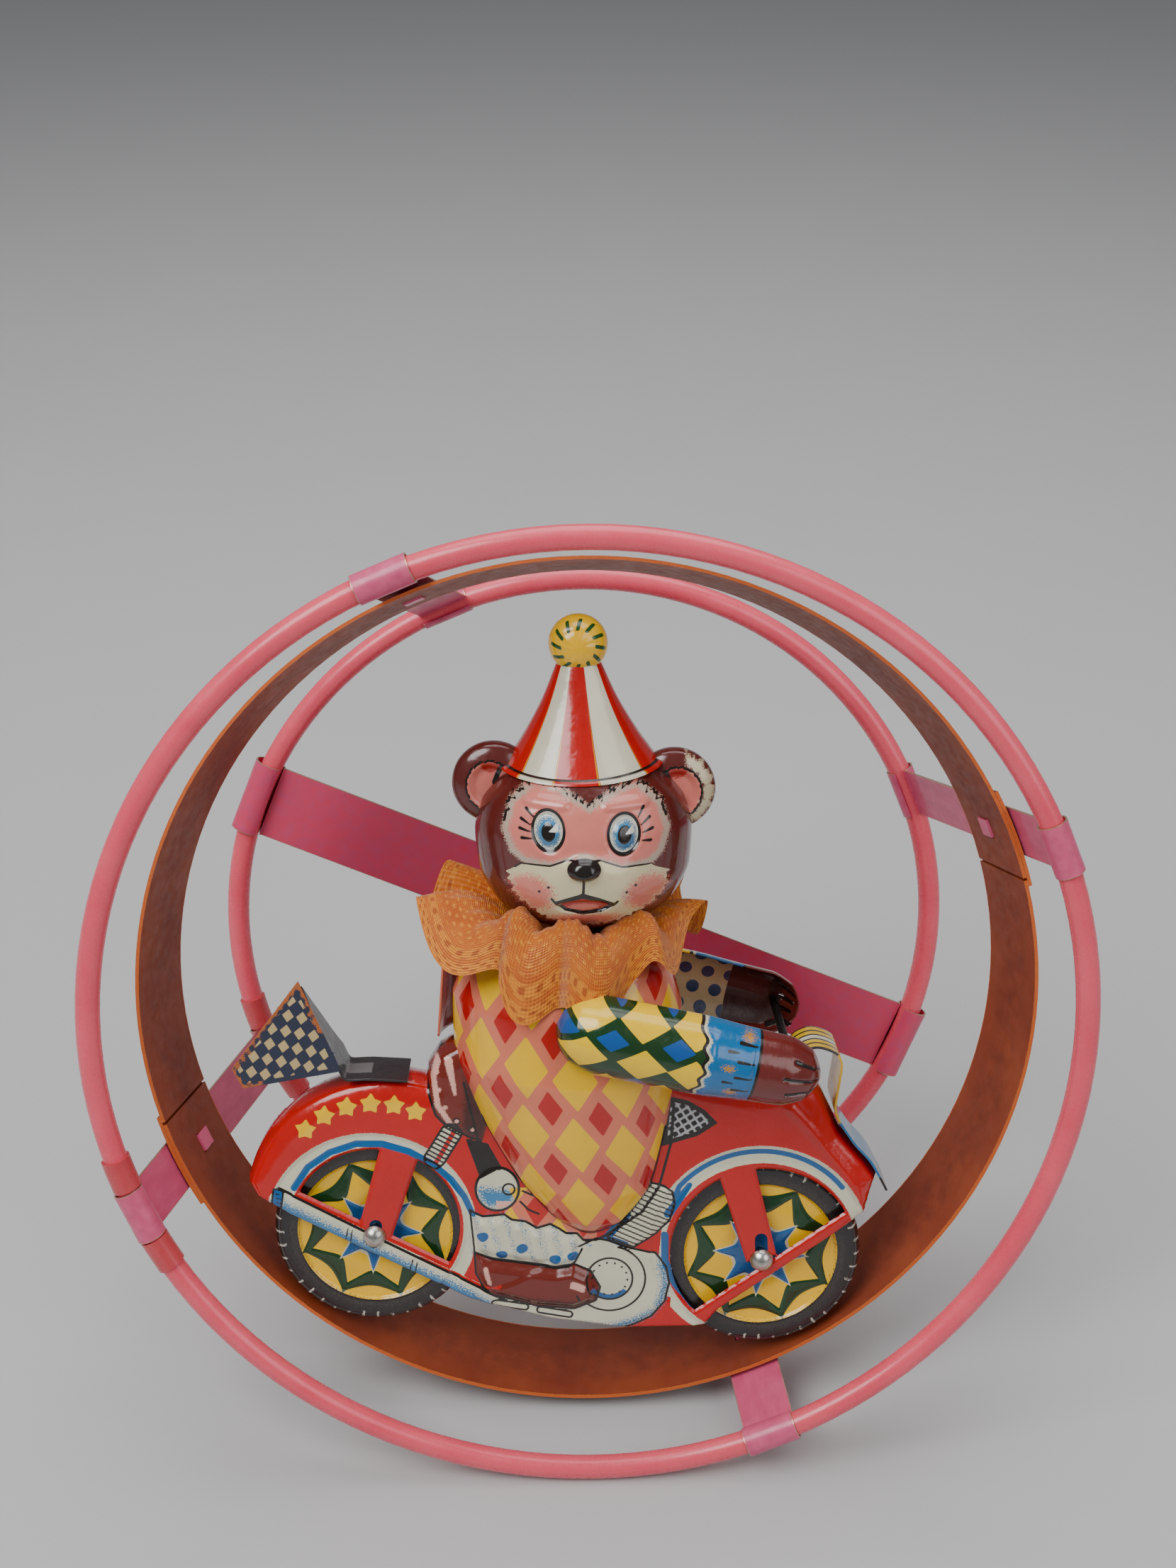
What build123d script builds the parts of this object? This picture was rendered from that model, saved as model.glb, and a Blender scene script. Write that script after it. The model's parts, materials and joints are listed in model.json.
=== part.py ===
from build123d import *
import os
from math import atan, cos, degrees, hypot, radians, sin, sqrt

# Tin wind-up toy: a clown bear on a motorcycle that runs round the inside of a rolling cage.
# The cage is two plastic hoops of different size held by four tin straps and a cross bar, so it
# stands with its axis dipping towards the small hoop and rolls in a circle. Millimetres, Z up.
# The origin is on the floor under the middle of the whole toy, X is along the motorcycle.

# ---- cage sizes
BIG_HOOP_R = 87.0  # centre line of the front hoop
SMALL_HOOP_R = 70.0  # centre line of the back hoop
HOOP_SPACING = 58.5  # between the hoop planes, along the cage axis
HOOP_ROD_R = 2.15  # the bent plastic rod
STRAP_WIDTH = 9.8
STRAP_THICK = 0.3
STRAP_ANGLES = [22.5, 112.5, 202.5, 292.5]
CURL_GAP = 0.2  # between a curl and the rod inside it
BAR_WIDTH = 14.7
BAR_ANGLE = 157.5
JOINER_WALL = 0.4
JOINER_LENGTH = 22.7
JOINER_GAP = 0.03
# ---- running track
TRACK_R = 81.1  # inside, at the front edge
TRACK_FRONT = 14.1  # depth of the front edge behind the front hoop plane
TRACK_WIDTH = 16.0  # along the cage axis
TRACK_THICK = 0.6
TRACK_LAP = 6.0  # degrees that a strip runs on past the strap that holds its end
TAB_WIDTH = 3.5
TAB_THICK = 0.3
TAB_FOOT = 3.2
SLOT_ROOM = 0.25
# ---- motorcycle and rider
MID_DEPTH = 17.0  # middle plane of the motorcycle behind the front hoop plane
LEAN = 4.7  # nose-down lean about the cage axis, degrees
WHEEL_BASE = 72.6
WHEEL_R = 19.0
WHEEL_WIDTH = 6.0
WHEEL_CROWN = 0.9
TYRE_WIDTH = 4.5  # radial width of the tyre band on the wheel's side
TRACK_GAP = 0.55  # between tyre and track
TIN = 0.4
NEAR_HALF = 5.0  # middle plane to the outside of the near shell
FAR_HALF = 6.7
AXLE_R = 1.0
RUN_FIT = 0.05
HEAD_R = 2.2
SLOT_HALF = 1.2
FRONT_FLOAT = 4.0
SLOT_LEAN = 97.0  # direction that the front axle rises in
REAR_SLOT_UP = 2.2
# ---- torso, head and arms
CHEST_HALF_WIDTH = 21.0
CHEST_HALF_DEPTH = 15.0
BEAR_HEAD_R = 19.3
BEAR_HEAD_DEPTH = 0.8  # depth as a share of the width
HEAD_TILT = 6.0
HAT_BASE = 14.0
HAT_BASE_R = 13.9
HAT_TOP = 33.25
POMPOM_R = 5.2
EAR_R = 7.4
ARM_BULGE = 7.0
# ---- clockwork
MODULE = 0.75
GEAR_THICK = 0.8
PINION_TEETH = 8
SMALL_WHEEL_TEETH = 24
GREAT_WHEEL_TEETH = 32
PLATE_THICK = 0.5
ARBOR_R = 1.2
PIVOT_R = 1.5
SPRING_R = 10.6
KEY_WIDTH = 20.0
KEY_HEIGHT = 12.0

# ---- worked out from the sizes above
TILT = degrees(atan((BIG_HOOP_R - SMALL_HOOP_R) / HOOP_SPACING))
TAPER = (BIG_HOOP_R - SMALL_HOOP_R) / HOOP_SPACING
sin_t, cos_t = sin(radians(TILT)), cos(radians(TILT))
LIFT = BIG_HOOP_R * cos_t + HOOP_ROD_R
Y_LOW = -BIG_HOOP_R * sin_t - HOOP_ROD_R
Y_HIGH = HOOP_SPACING * cos_t + SMALL_HOOP_R * sin_t + HOOP_ROD_R
CAGE = Location((0, -(Y_LOW + Y_HIGH) / 2, LIFT)) * Location((0, 0, 0), (-TILT, 0, 0))
RIDER = CAGE * Location((0, MID_DEPTH, 0)) * Location((0, 0, 0), (0, LEAN, 0))
# a sketch is drawn with x forward and y up, and z points out of the near side
NEAR_FACE = Location((0, 0, 0), (90, 0, 0))

track_at_wheel = TRACK_R - TAPER * (MID_DEPTH + WHEEL_WIDTH / 2 - TRACK_FRONT)
AXLE_REACH = track_at_wheel - TRACK_GAP - WHEEL_R + WHEEL_CROWN * 0.75
AXLE_DROP = -sqrt(AXLE_REACH**2 - (WHEEL_BASE / 2) ** 2)
FRONT_AXLE = (WHEEL_BASE / 2, AXLE_DROP)
REAR_AXLE = (-WHEEL_BASE / 2, AXLE_DROP)

os.makedirs("parts", exist_ok=True)


def place(name, shape, where):
    """Puts a finished piece in the toy and writes it."""
    export_step(where * shape, f"parts/{name}.step")


def polar(centre, reach, angle):
    return (centre[0] + reach * cos(radians(angle)), centre[1] + reach * sin(radians(angle)))


def near(shape):
    return NEAR_FACE * shape


def far(shape):
    return mirror(NEAR_FACE * shape, about=Plane.XZ)


def spin_about_axis(profile, start, sweep):
    """Carries a profile drawn with x = radius and y = depth round the cage axis, from start, in degrees."""
    ring = revolve(Plane.XY * profile, Axis.Y, -sweep)
    return ring.rotate(Axis.Y, -start)


# ================================================================ hoops and joiners
def hoop(radius, depth):
    ring = Torus(radius, HOOP_ROD_R)
    return Location((0, depth, 0), (90, 0, 0)) * ring


place("front_hoop", hoop(BIG_HOOP_R, 0), CAGE)
place("back_hoop", hoop(SMALL_HOOP_R, HOOP_SPACING), CAGE)


def sleeve(radius, depth, angle, length):
    sweep = degrees(length / radius)
    inner = HOOP_ROD_R + JOINER_GAP
    wall = Circle(inner + JOINER_WALL) - Circle(inner)
    return spin_about_axis(Pos(radius, depth) * wall, angle - sweep / 2, sweep)


# each joiner lies under a strap's curl, so it is two lengths, one at each side of the curl
curl_room = STRAP_WIDTH / 2 + 0.4
side_length = (JOINER_LENGTH - 2 * curl_room) / 2
joined_hoops = (("front_hoop_joiner", BIG_HOOP_R, 0), ("back_hoop_joiner", SMALL_HOOP_R, HOOP_SPACING))
for name, radius, depth in joined_hoops:
    side_angle = degrees((curl_room + side_length / 2) / radius)
    seam = STRAP_ANGLES[2]
    sides = [sleeve(radius, depth, seam + s * side_angle, side_length) for s in (-1, 1)]
    place(name, sides[0] + sides[1], CAGE)

# ================================================================ straps and cross bar
strap_run = hypot(HOOP_SPACING, BIG_HOOP_R - SMALL_HOOP_R)
curl_in = HOOP_ROD_R + CURL_GAP
tab_depth = TRACK_FRONT + TRACK_WIDTH * 0.45
lap_step = TRACK_THICK + 0.05


def curl(gap_from, gap_to, inner, thick):
    """A strip end rolled round the rod, open between two angles."""
    ring = Circle(inner + thick) - Circle(inner)
    reach = 3 * inner
    mouth = Polyline((0, 0), polar((0, 0), reach, gap_from), polar((0, 0), reach, gap_to), close=True)
    return ring - make_face(mouth)


def strap(angle):
    # drawn in the plane through the cage axis: x = radius, y = depth
    lean_in = degrees(atan(TAPER))
    run = Location((BIG_HOOP_R, 0), 90 + lean_in)
    flat_length = strap_run - 2 * curl_in - STRAP_THICK
    flat = run * Pos(strap_run / 2, 0) * Rectangle(flat_length + 0.1, STRAP_THICK)
    ends = run * curl(8, 48, curl_in, STRAP_THICK)
    ends += run * Pos(strap_run, 0) * curl(132, 172, curl_in, STRAP_THICK)
    body = extrude(Plane.XY * (flat + ends), STRAP_WIDTH / 2, both=True)
    # a lanced tab holds the track: it passes the slot and is bent over inside
    strap_r = BIG_HOOP_R - TAPER * tab_depth
    track_in = TRACK_R - TAPER * (tab_depth - TRACK_FRONT)
    stem_low = track_in - 0.05 - TAB_THICK
    stem = Pos((strap_r + stem_low) / 2, tab_depth, 0) * Box(strap_r - stem_low, TAB_THICK, TAB_WIDTH)
    bend = Pos(stem_low + TAB_THICK / 2, tab_depth, 0) * Location((0, 0, 0), (0, 0, lean_in))
    foot = bend * Pos(0, TAB_FOOT / 2, 0) * Box(TAB_THICK, TAB_FOOT, TAB_WIDTH)
    return (body + stem + foot).rotate(Axis.Y, -angle)


for number, angle in enumerate(STRAP_ANGLES, 1):
    place(f"cross_strap_{number}", strap(angle), CAGE)

bar_curl = HOOP_ROD_R + CURL_GAP + BAR_WIDTH**2 / (8 * SMALL_HOOP_R)
bar_flat = Pos(0, HOOP_SPACING) * Rectangle(2 * (SMALL_HOOP_R - bar_curl) - STRAP_THICK + 0.1, STRAP_THICK)
bar_ends = Pos(SMALL_HOOP_R, HOOP_SPACING) * curl(188, 228, bar_curl, STRAP_THICK)
bar_ends += Pos(-SMALL_HOOP_R, HOOP_SPACING) * curl(-48, -8, bar_curl, STRAP_THICK)
bar = extrude(Plane.XY * (bar_flat + bar_ends), BAR_WIDTH / 2, both=True)
bar -= Pos(0, HOOP_SPACING, 0) * Location((0, 0, 0), (90, 0, 0)) * Cylinder(PIVOT_R + RUN_FIT, 2)
place("centre_bar", bar.rotate(Axis.Y, -BAR_ANGLE), CAGE)


# ================================================================ track strips
def track_profile(step):
    """The strip's section, which leans in with the cone of the cage."""
    low, drop = TRACK_R + step, TAPER * TRACK_WIDTH
    corners = [
        (low, TRACK_FRONT),
        (low + TRACK_THICK, TRACK_FRONT),
        (low + TRACK_THICK - drop, TRACK_FRONT + TRACK_WIDTH),
        (low - drop, TRACK_FRONT + TRACK_WIDTH),
    ]
    return make_face(Polyline(*corners, close=True))


def joggle_profile():
    drop = TAPER * TRACK_WIDTH
    high = TRACK_R + lap_step + TRACK_THICK
    corners = [
        (TRACK_R, TRACK_FRONT),
        (high, TRACK_FRONT),
        (high - drop, TRACK_FRONT + TRACK_WIDTH),
        (TRACK_R - drop, TRACK_FRONT + TRACK_WIDTH),
    ]
    return make_face(Polyline(*corners, close=True))


def track_strip(inner_end, outer_end):
    """Half the track: its first end lies inside the other strip, its last end laps outside it."""
    joggle_from = outer_end - 2 * TRACK_LAP - 1.2
    strip = spin_about_axis(track_profile(0), inner_end, joggle_from + 0.4 - inner_end)
    strip += spin_about_axis(joggle_profile(), joggle_from, 0.8)
    strip += spin_about_axis(track_profile(lap_step), joggle_from + 0.4, outer_end - joggle_from - 0.4)
    for angle in STRAP_ANGLES:
        slot = Pos(TRACK_R, tab_depth, 0) * Box(12, TAB_THICK + 2 * SLOT_ROOM, TAB_WIDTH + 2 * SLOT_ROOM)
        strip -= slot.rotate(Axis.Y, -angle)
    return strip


place("track_strip_upper", track_strip(STRAP_ANGLES[0] - TRACK_LAP, STRAP_ANGLES[2] + TRACK_LAP), CAGE)
place("track_strip_lower", track_strip(STRAP_ANGLES[2] - TRACK_LAP, STRAP_ANGLES[0] + 360 + TRACK_LAP), CAGE)

# ================================================================ pivot between bar and rider
# a headed pin is riveted to the bar and reaches forward along the cage axis into the rider's back
back_of_chest = MID_DEPTH + CHEST_HALF_DEPTH
pin_tip = back_of_chest - 6.5
bar_front = HOOP_SPACING - STRAP_THICK / 2
bar_back = HOOP_SPACING + STRAP_THICK / 2


def along_axis(radius, start, stop):
    """A round bar on the cage axis between two depths."""
    return Location((0, (start + stop) / 2, 0), (90, 0, 0)) * Cylinder(radius, stop - start)


pin = along_axis(PIVOT_R, pin_tip, bar_back + 0.05)
pin += along_axis(PIVOT_R + 1.3, bar_front - 1.2, bar_front - 0.02)
pin += along_axis(PIVOT_R + 1.1, bar_back + 0.02, bar_back + 0.9)
place("pivot_pin", pin, CAGE)
clip = along_axis(PIVOT_R + 1.8, pin_tip + 0.4, pin_tip + 1.0)
clip -= along_axis(PIVOT_R + 0.01, pin_tip, pin_tip + 2)
place("pivot_clip", clip, CAGE)

# ================================================================ wheels, axles
axle_near = NEAR_HALF + 0.1
axle_far = FAR_HALF + 0.1


def dome(radius, height):
    """A domed rivet head standing on z = 0."""
    ball_r = (radius**2 + height**2) / (2 * height)
    return (Pos(0, 0, height - ball_r) * Sphere(ball_r)) & Pos(0, 0, height) * Cylinder(radius, 2 * height)


def axle(centre):
    rod = Pos(0, 0, (axle_near - axle_far) / 2) * Cylinder(AXLE_R, axle_near + axle_far)
    rod += Pos(0, 0, axle_near - 0.01) * dome(HEAD_R, 1.5)
    rod += Pos(0, 0, 0.01 - axle_far) * Location((0, 0, 0), (180, 0, 0)) * dome(HEAD_R, 1.3)
    return Pos(*centre, 0) * rod


def wheel_half(bore):
    """One pressed half of a wheel, drawn about z, its open side at z = 0."""
    half = WHEEL_WIDTH / 2
    rim = WHEEL_R - TYRE_WIDTH
    outer = [
        (bore, 0),
        (WHEEL_R, 0),
        (WHEEL_R - WHEEL_CROWN * 0.25, half * 0.5),
        (WHEEL_R - WHEEL_CROWN, half * 0.9),
        (WHEEL_R - WHEEL_CROWN - 0.5, half),
        (rim, half),
        (rim - 1.5, half - 0.9),
        (rim * 0.55, half - 0.5),
        (3.0, half - 1.1),
        (bore, half - 1.1),
    ]
    skin = make_face(Polyline(*outer, close=True))
    hollow = make_face(
        Polyline(
            (bore + TIN, -1),
            (WHEEL_R - TIN, -1),
            (WHEEL_R - TIN, 0),
            (WHEEL_R - WHEEL_CROWN * 0.25 - TIN, half * 0.5),
            (WHEEL_R - WHEEL_CROWN - TIN, half * 0.9 - TIN),
            (WHEEL_R - WHEEL_CROWN - 0.5 - TIN, half - TIN),
            (rim + 0.2, half - TIN),
            (rim - 1.3, half - 0.9 - TIN),
            (rim * 0.55, half - 0.5 - TIN),
            (3.2, half - 1.1 - TIN),
            (bore + TIN, half - 1.1 - TIN),
            close=True,
        )
    )
    return revolve(Plane.XZ * (skin - hollow), Axis.Z, 360)


def wheel_sides(centre, bore):
    side = wheel_half(bore)
    far_side = mirror(side, about=Plane.XY)
    return Pos(*centre, 0) * side, Pos(*centre, 0) * far_side


near_side, far_side = wheel_sides(FRONT_AXLE, AXLE_R + RUN_FIT)
place("front_wheel_near_half", near(near_side), RIDER)
place("front_wheel_far_half", near(far_side), RIDER)
place("front_axle", near(axle(FRONT_AXLE)), RIDER)
near_side, far_side = wheel_sides(REAR_AXLE, AXLE_R)
place("rear_wheel_near_half", near(near_side), RIDER)
place("rear_wheel_far_half", near(far_side), RIDER)
place("rear_axle", near(axle(REAR_AXLE)), RIDER)

# ================================================================ gear train
# two gear planes stand beside the rear wheel on the far side and one by the near plate;
# depths are from the middle plane, positive towards the far side
PLANE_1 = WHEEL_WIDTH / 2 + 0.4
PLANE_2 = PLANE_1 + GEAR_THICK + 0.3
NEAR_PLANE = -NEAR_HALF + TIN + 0.2 + PLATE_THICK + 0.25
FAR_PLATE = FAR_HALF - TIN - 0.2 - PLATE_THICK
NEAR_PLATE = NEAR_HALF - TIN - 0.2 - PLATE_THICK


def pitch_r(teeth):
    return MODULE * teeth / 2


centre_play = 0.12
small_mesh = pitch_r(PINION_TEETH) + pitch_r(SMALL_WHEEL_TEETH) + centre_play
great_mesh = pitch_r(PINION_TEETH) + pitch_r(GREAT_WHEEL_TEETH) + centre_play
LINE_1, LINE_2, LINE_3 = 35.0, 20.0, 30.0  # directions from each arbor to the next
IDLER = polar(REAR_AXLE, small_mesh, LINE_1)
SECOND = polar(IDLER, small_mesh, LINE_2)
GREAT = polar(SECOND, great_mesh, LINE_3)


def gear(teeth, thick, bore, turn):
    """A flat gear with straight-flanked teeth, one tooth centred at the angle turn."""
    radius = pitch_r(teeth)
    tip, root = radius + 0.75 * MODULE, radius - 1.0 * MODULE
    step = 360 / teeth
    points = []
    for tooth in range(teeth):
        middle = turn + tooth * step
        points.append(polar((0, 0), root, middle - 0.27 * step))
        points.append(polar((0, 0), tip, middle - 0.10 * step))
        points.append(polar((0, 0), tip, middle + 0.10 * step))
        points.append(polar((0, 0), root, middle + 0.27 * step))
    blank = make_face(Polyline(*points, close=True))
    if bore > 0:
        blank -= Circle(bore)
    return extrude(blank, thick)


def gap_turn(teeth, direction):
    """The turn that puts a gap, not a tooth, at a direction."""
    return direction + 180 / teeth


def at_depth(shape, centre, depth):
    """Sets a shape at an arbor, starting this far towards the far side of the middle plane."""
    return Pos(*centre, -depth) * Location((0, 0, 0), (180, 0, 0)) * shape


def turned(angle):
    # a shape turned over to face the far side has its angles reversed
    return -angle


axle_pinion = gear(PINION_TEETH, GEAR_THICK + 0.4, AXLE_R, turned(LINE_1))
place("axle_pinion", near(at_depth(axle_pinion, REAR_AXLE, PLANE_1 - 0.2)), RIDER)

stud_r = 0.9
idler_turn = gap_turn(SMALL_WHEEL_TEETH, turned(LINE_1 + 180))
idler_wheel = gear(SMALL_WHEEL_TEETH, GEAR_THICK, stud_r + RUN_FIT, idler_turn)
idler_pinion = gear(PINION_TEETH, GEAR_THICK + 0.15, stud_r + RUN_FIT, turned(LINE_2))
idler = at_depth(idler_wheel, IDLER, PLANE_1)
spacer = Cylinder(1.9, 0.3, align=(Align.CENTER, Align.CENTER, Align.MIN)) - Cylinder(stud_r + RUN_FIT, 2)
idler += at_depth(spacer, IDLER, PLANE_1 + GEAR_THICK)
idler += at_depth(idler_pinion, IDLER, PLANE_2)
place("idler_cluster", near(idler), RIDER)


def rod(radius, centre, start, stop):
    """A round bar across the motorcycle, from one depth to another, positive towards the far side."""
    return Pos(*centre, -(start + stop) / 2) * Cylinder(radius, stop - start)


place("idler_stud", near(rod(stud_r, IDLER, PLANE_1 - 0.1, FAR_PLATE)), RIDER)

second_turn = gap_turn(SMALL_WHEEL_TEETH, turned(LINE_2 + 180))
second_wheel = gear(SMALL_WHEEL_TEETH, GEAR_THICK, stud_r, second_turn)
place("second_wheel", near(at_depth(second_wheel, SECOND, PLANE_2)), RIDER)
# this pinion stops short of the wheel's side, which its teeth may overlap
pinion_start, pinion_stop = NEAR_PLANE - 0.1, -WHEEL_WIDTH / 2 - 0.1
second_pinion = gear(PINION_TEETH, pinion_stop - pinion_start, stud_r, turned(LINE_3))
place("second_pinion", near(at_depth(second_pinion, SECOND, pinion_start)), RIDER)
second_arbor = rod(stud_r, SECOND, -NEAR_PLATE - PLATE_THICK, FAR_PLATE + PLATE_THICK)
place("second_arbor", near(second_arbor), RIDER)

great_turn = gap_turn(GREAT_WHEEL_TEETH, turned(LINE_3 + 180))
great_wheel = gear(GREAT_WHEEL_TEETH, GEAR_THICK, ARBOR_R + RUN_FIT, great_turn)
place("great_wheel", near(at_depth(great_wheel, GREAT, NEAR_PLANE)), RIDER)
ratchet = gear(12, 0.6, ARBOR_R, 0)
ratchet_depth = NEAR_PLANE + GEAR_THICK + 0.1
place("ratchet_wheel", near(at_depth(ratchet, GREAT, ratchet_depth)), RIDER)
pawl = Pos(6.3, -4.2, 0) * Box(3.0, 1.0, 0.6, align=(Align.CENTER, Align.CENTER, Align.MIN))
pawl += Pos(6.3, -4.2, 0) * Cylinder(0.8, 1.0, align=(Align.CENTER, Align.CENTER, Align.MIN))
place("ratchet_click", near(at_depth(pawl, GREAT, NEAR_PLANE + GEAR_THICK + 0.01)), RIDER)

key_start = CHEST_HALF_DEPTH + 1.0
arbor = rod(ARBOR_R, GREAT, -NEAR_PLATE - PLATE_THICK, key_start + 6.0)
place("winding_arbor", near(arbor), RIDER)
wing_low, wing_high = key_start + 0.5, key_start + 0.5 + KEY_HEIGHT
wings = Rectangle(KEY_WIDTH, KEY_HEIGHT)
wings = fillet(wings.vertices(), KEY_HEIGHT * 0.4)
for side in (-1, 1):
    wings -= Pos(side * KEY_WIDTH * 0.28, 0) * Circle(KEY_HEIGHT * 0.2)
blade = extrude(wings, 0.5, both=True)
blade = Location((0, 0, (wing_low + wing_high) / 2), (90, 0, 0)) * blade
barrel = Cylinder(ARBOR_R + 1.0, 7.0, align=(Align.CENTER, Align.CENTER, Align.MIN))
barrel = Pos(0, 0, wing_low - 0.3) * barrel
key = (blade + barrel) - Pos(0, 0, key_start) * Cylinder(ARBOR_R + 0.01, 2 * 6.0)
place("winding_key", near(at_depth(Location((0, 0, 0), (0, 0, 25)) * key, GREAT, 0)), RIDER)

# ---- mainspring: a strip coiled round the arbor, its outer end on a pillar
coil_in, coils, strip = ARBOR_R + 0.9, 6, 0.4


def coil_edge(shift):
    steps = 24 * coils
    pitch = (SPRING_R - coil_in) / coils
    points = []
    for step in range(steps + 1):
        turn = step / 24
        points.append(polar((0, 0), coil_in + pitch * turn + shift, 360 * turn))
    return points


spring_face = make_face(Polyline(*coil_edge(0), *reversed(coil_edge(strip)), close=True))
spring_width = 5.6
spring = extrude(spring_face, spring_width)
place("mainspring", near(at_depth(spring, GREAT, ratchet_depth + 1.2)), RIDER)

# ---- motor plates and pillars
pillar_r = 1.4


def clear_of(teeth, gap):
    """How far from a gear's middle a pillar stands to miss its teeth."""
    return pitch_r(teeth) + 0.75 * MODULE + pillar_r + gap


PILLARS = [
    polar(GREAT, clear_of(GREAT_WHEEL_TEETH, 0.64), 75),
    polar(GREAT, clear_of(GREAT_WHEEL_TEETH, 0.64), -20),
    polar(REAR_AXLE, WHEEL_R + pillar_r + 2.0, -2),
    polar(SECOND, clear_of(SMALL_WHEEL_TEETH, 1.64), 120),
]


def plate(corners, holes, depth):
    outline = make_hull([edge for spot in corners for edge in (Pos(*spot) * Circle(2.6)).edges()])
    sheet = extrude(outline, PLATE_THICK)
    for spot, radius in holes:
        sheet -= Pos(*spot, 0) * Cylinder(radius, 4)
    return Pos(0, 0, -depth - PLATE_THICK) * sheet


far_holes = [(REAR_AXLE, AXLE_R + RUN_FIT), (SECOND, stud_r + RUN_FIT), (GREAT, ARBOR_R + RUN_FIT)]
far_plate = plate([REAR_AXLE, GREAT, *PILLARS], far_holes, FAR_PLATE)
place("far_motor_plate", near(far_plate), RIDER)
near_holes = [(SECOND, stud_r + RUN_FIT), (GREAT, ARBOR_R + RUN_FIT)]
near_plate = plate([GREAT, SECOND, *PILLARS], near_holes, -NEAR_PLATE - PLATE_THICK)
place("near_motor_plate", near(near_plate), RIDER)
pillars = Part() + [rod(pillar_r, spot, -NEAR_PLATE, FAR_PLATE) for spot in PILLARS]
place("motor_pillars", near(pillars), RIDER)


# ================================================================ body shells
FENDER_C = (REAR_AXLE[0] + 2.3, REAR_AXLE[1] + 4.9)
FENDER_R = WHEEL_R + 7.6


def from_front(forward, up):
    return (FRONT_AXLE[0] + forward, FRONT_AXLE[1] + up)


def from_rear(forward, up):
    return (REAR_AXLE[0] + forward, REAR_AXLE[1] + up)


# the nose runs from the tank down to the front lip
NOSE_STEPS = [(8.2, 33.4), (12.2, 26.4), (17.2, 21.4), (20.2, 17.9)]
NOSE = [(41.0, -10.5)] + [from_front(*step) for step in NOSE_STEPS]


def bike_outline():
    """Side view of the motorcycle: fender, saddle, tank, front fender, stays and pipe."""
    tip, top = polar(FENDER_C, FENDER_R, 171.5), polar(FENDER_C, FENDER_R, 78)
    crest = polar(FENDER_C, FENDER_R, 125)
    saddle = [(-28.4, -14.6), (-26.6, -11.2), (-23.5, -9.0)]
    tank = [(0, -8.0), (17, -11.5), (24, -13.0)]
    stays = [from_front(18.7, 10.1), from_front(-6.8, -11.6), from_front(-9.3, -15.4)]
    sump = [from_front(-23.9, -16.7), from_front(-38.9, -15.5), from_front(-54.3, -12.4)]
    pipe = [from_rear(-17.9, 3.7), from_rear(-22.3, 6.1)]
    edges = [
        ThreePointArc(tip, crest, top),
        Polyline(top, *saddle, *tank),
        ThreePointArc(tank[-1], (33.5, -13.6), NOSE[0]),
        Polyline(*NOSE, *stays, *sump, *pipe, tip),
    ]
    return make_face(edges)


def fork_strip(centre, top, top_width, foot_width):
    """A flat strip from the fender's edge down to the axle."""
    dx, dy = top[0] - centre[0], top[1] - centre[1]
    length = hypot(dx, dy)
    nx, ny = dy / length, -dx / length
    corners = [
        (top[0] - nx * top_width / 2, top[1] - ny * top_width / 2),
        (top[0] + nx * top_width / 2, top[1] + ny * top_width / 2),
        (centre[0] + nx * foot_width / 2, centre[1] + ny * foot_width / 2),
        (centre[0] - nx * foot_width / 2, centre[1] - ny * foot_width / 2),
    ]
    return make_face(Polyline(*corners, close=True))


def half_plane_under(start, end):
    dx, dy = end[0] - start[0], end[1] - start[1]
    length = hypot(dx, dy)
    down = (dy / length * 60, -dx / length * 60)
    corners = [start, end, (end[0] + down[0], end[1] + down[1]), (start[0] + down[0], start[1] + down[1])]
    return make_face(Polyline(*corners, close=True))


def wheel_windows():
    rear_hole = Pos(*from_rear(0.2, 2.0)) * Circle(WHEEL_R - 3.4)
    rear_hole -= fork_strip(REAR_AXLE, from_rear(4.0, 18.5), 7.4, 6.4)
    rear_hole -= half_plane_under(from_rear(-22, 11.4), from_rear(26, -9.8))
    front_hole = Pos(*from_front(0.1, 1.2)) * Circle(WHEEL_R - 1.6)
    front_hole -= fork_strip(FRONT_AXLE, from_front(-7.0, 19.5), 7.0, 5.8)
    front_hole -= half_plane_under(from_front(-22, -20.6), from_front(22, 17.2))
    return rear_hole + front_hole


def slots():
    """Axle slots: the front one lets its axle rise, the rear one clears an axle held by the motor."""
    shapes = []
    front, rear = (FRONT_AXLE, SLOT_LEAN, 0.15, FRONT_FLOAT + 0.3), (REAR_AXLE, 86.0, 1.0, REAR_SLOT_UP)
    for centre, lean, low, high in (front, rear):
        run = polar(centre, (high - low) / 2, lean)
        slot = Pos(*run) * Location((0, 0), lean) * SlotCenterToCenter(high + low, 2 * SLOT_HALF)
        shapes.append(slot)
    return shapes[0] + shapes[1]


# heights up the bear's body, and its middle, half width and half depth there
CHEST_RINGS = [
    (12.6, -3.6, 0.40, 0.42),
    (11.2, -3.6, 0.62, 0.60),
    (8.0, -3.6, 0.84, 0.80),
    (0.0, -3.8, 1.00, 0.96),
    (-12.0, -3.1, 0.985, 1.00),
    (-24.0, -0.7, 0.85, 0.87),
    (-35.0, 2.0, 0.66, 0.68),
    (-42.0, 3.2, 0.42, 0.50),
    (-46.0, 3.6, 0.14, 0.28),
]


def chest(inset):
    rings = []
    last = len(CHEST_RINGS) - 1
    for number, (height, middle, wide, deep) in enumerate(CHEST_RINGS):
        if number == 0:
            height -= inset
        if number == last:
            height += inset
        level = Plane(origin=(middle, height, 0), x_dir=(1, 0, 0), z_dir=(0, 1, 0))
        rings.append(level * Ellipse(wide * CHEST_HALF_WIDTH - inset, deep * CHEST_HALF_DEPTH - inset))
    return loft(rings)


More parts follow.
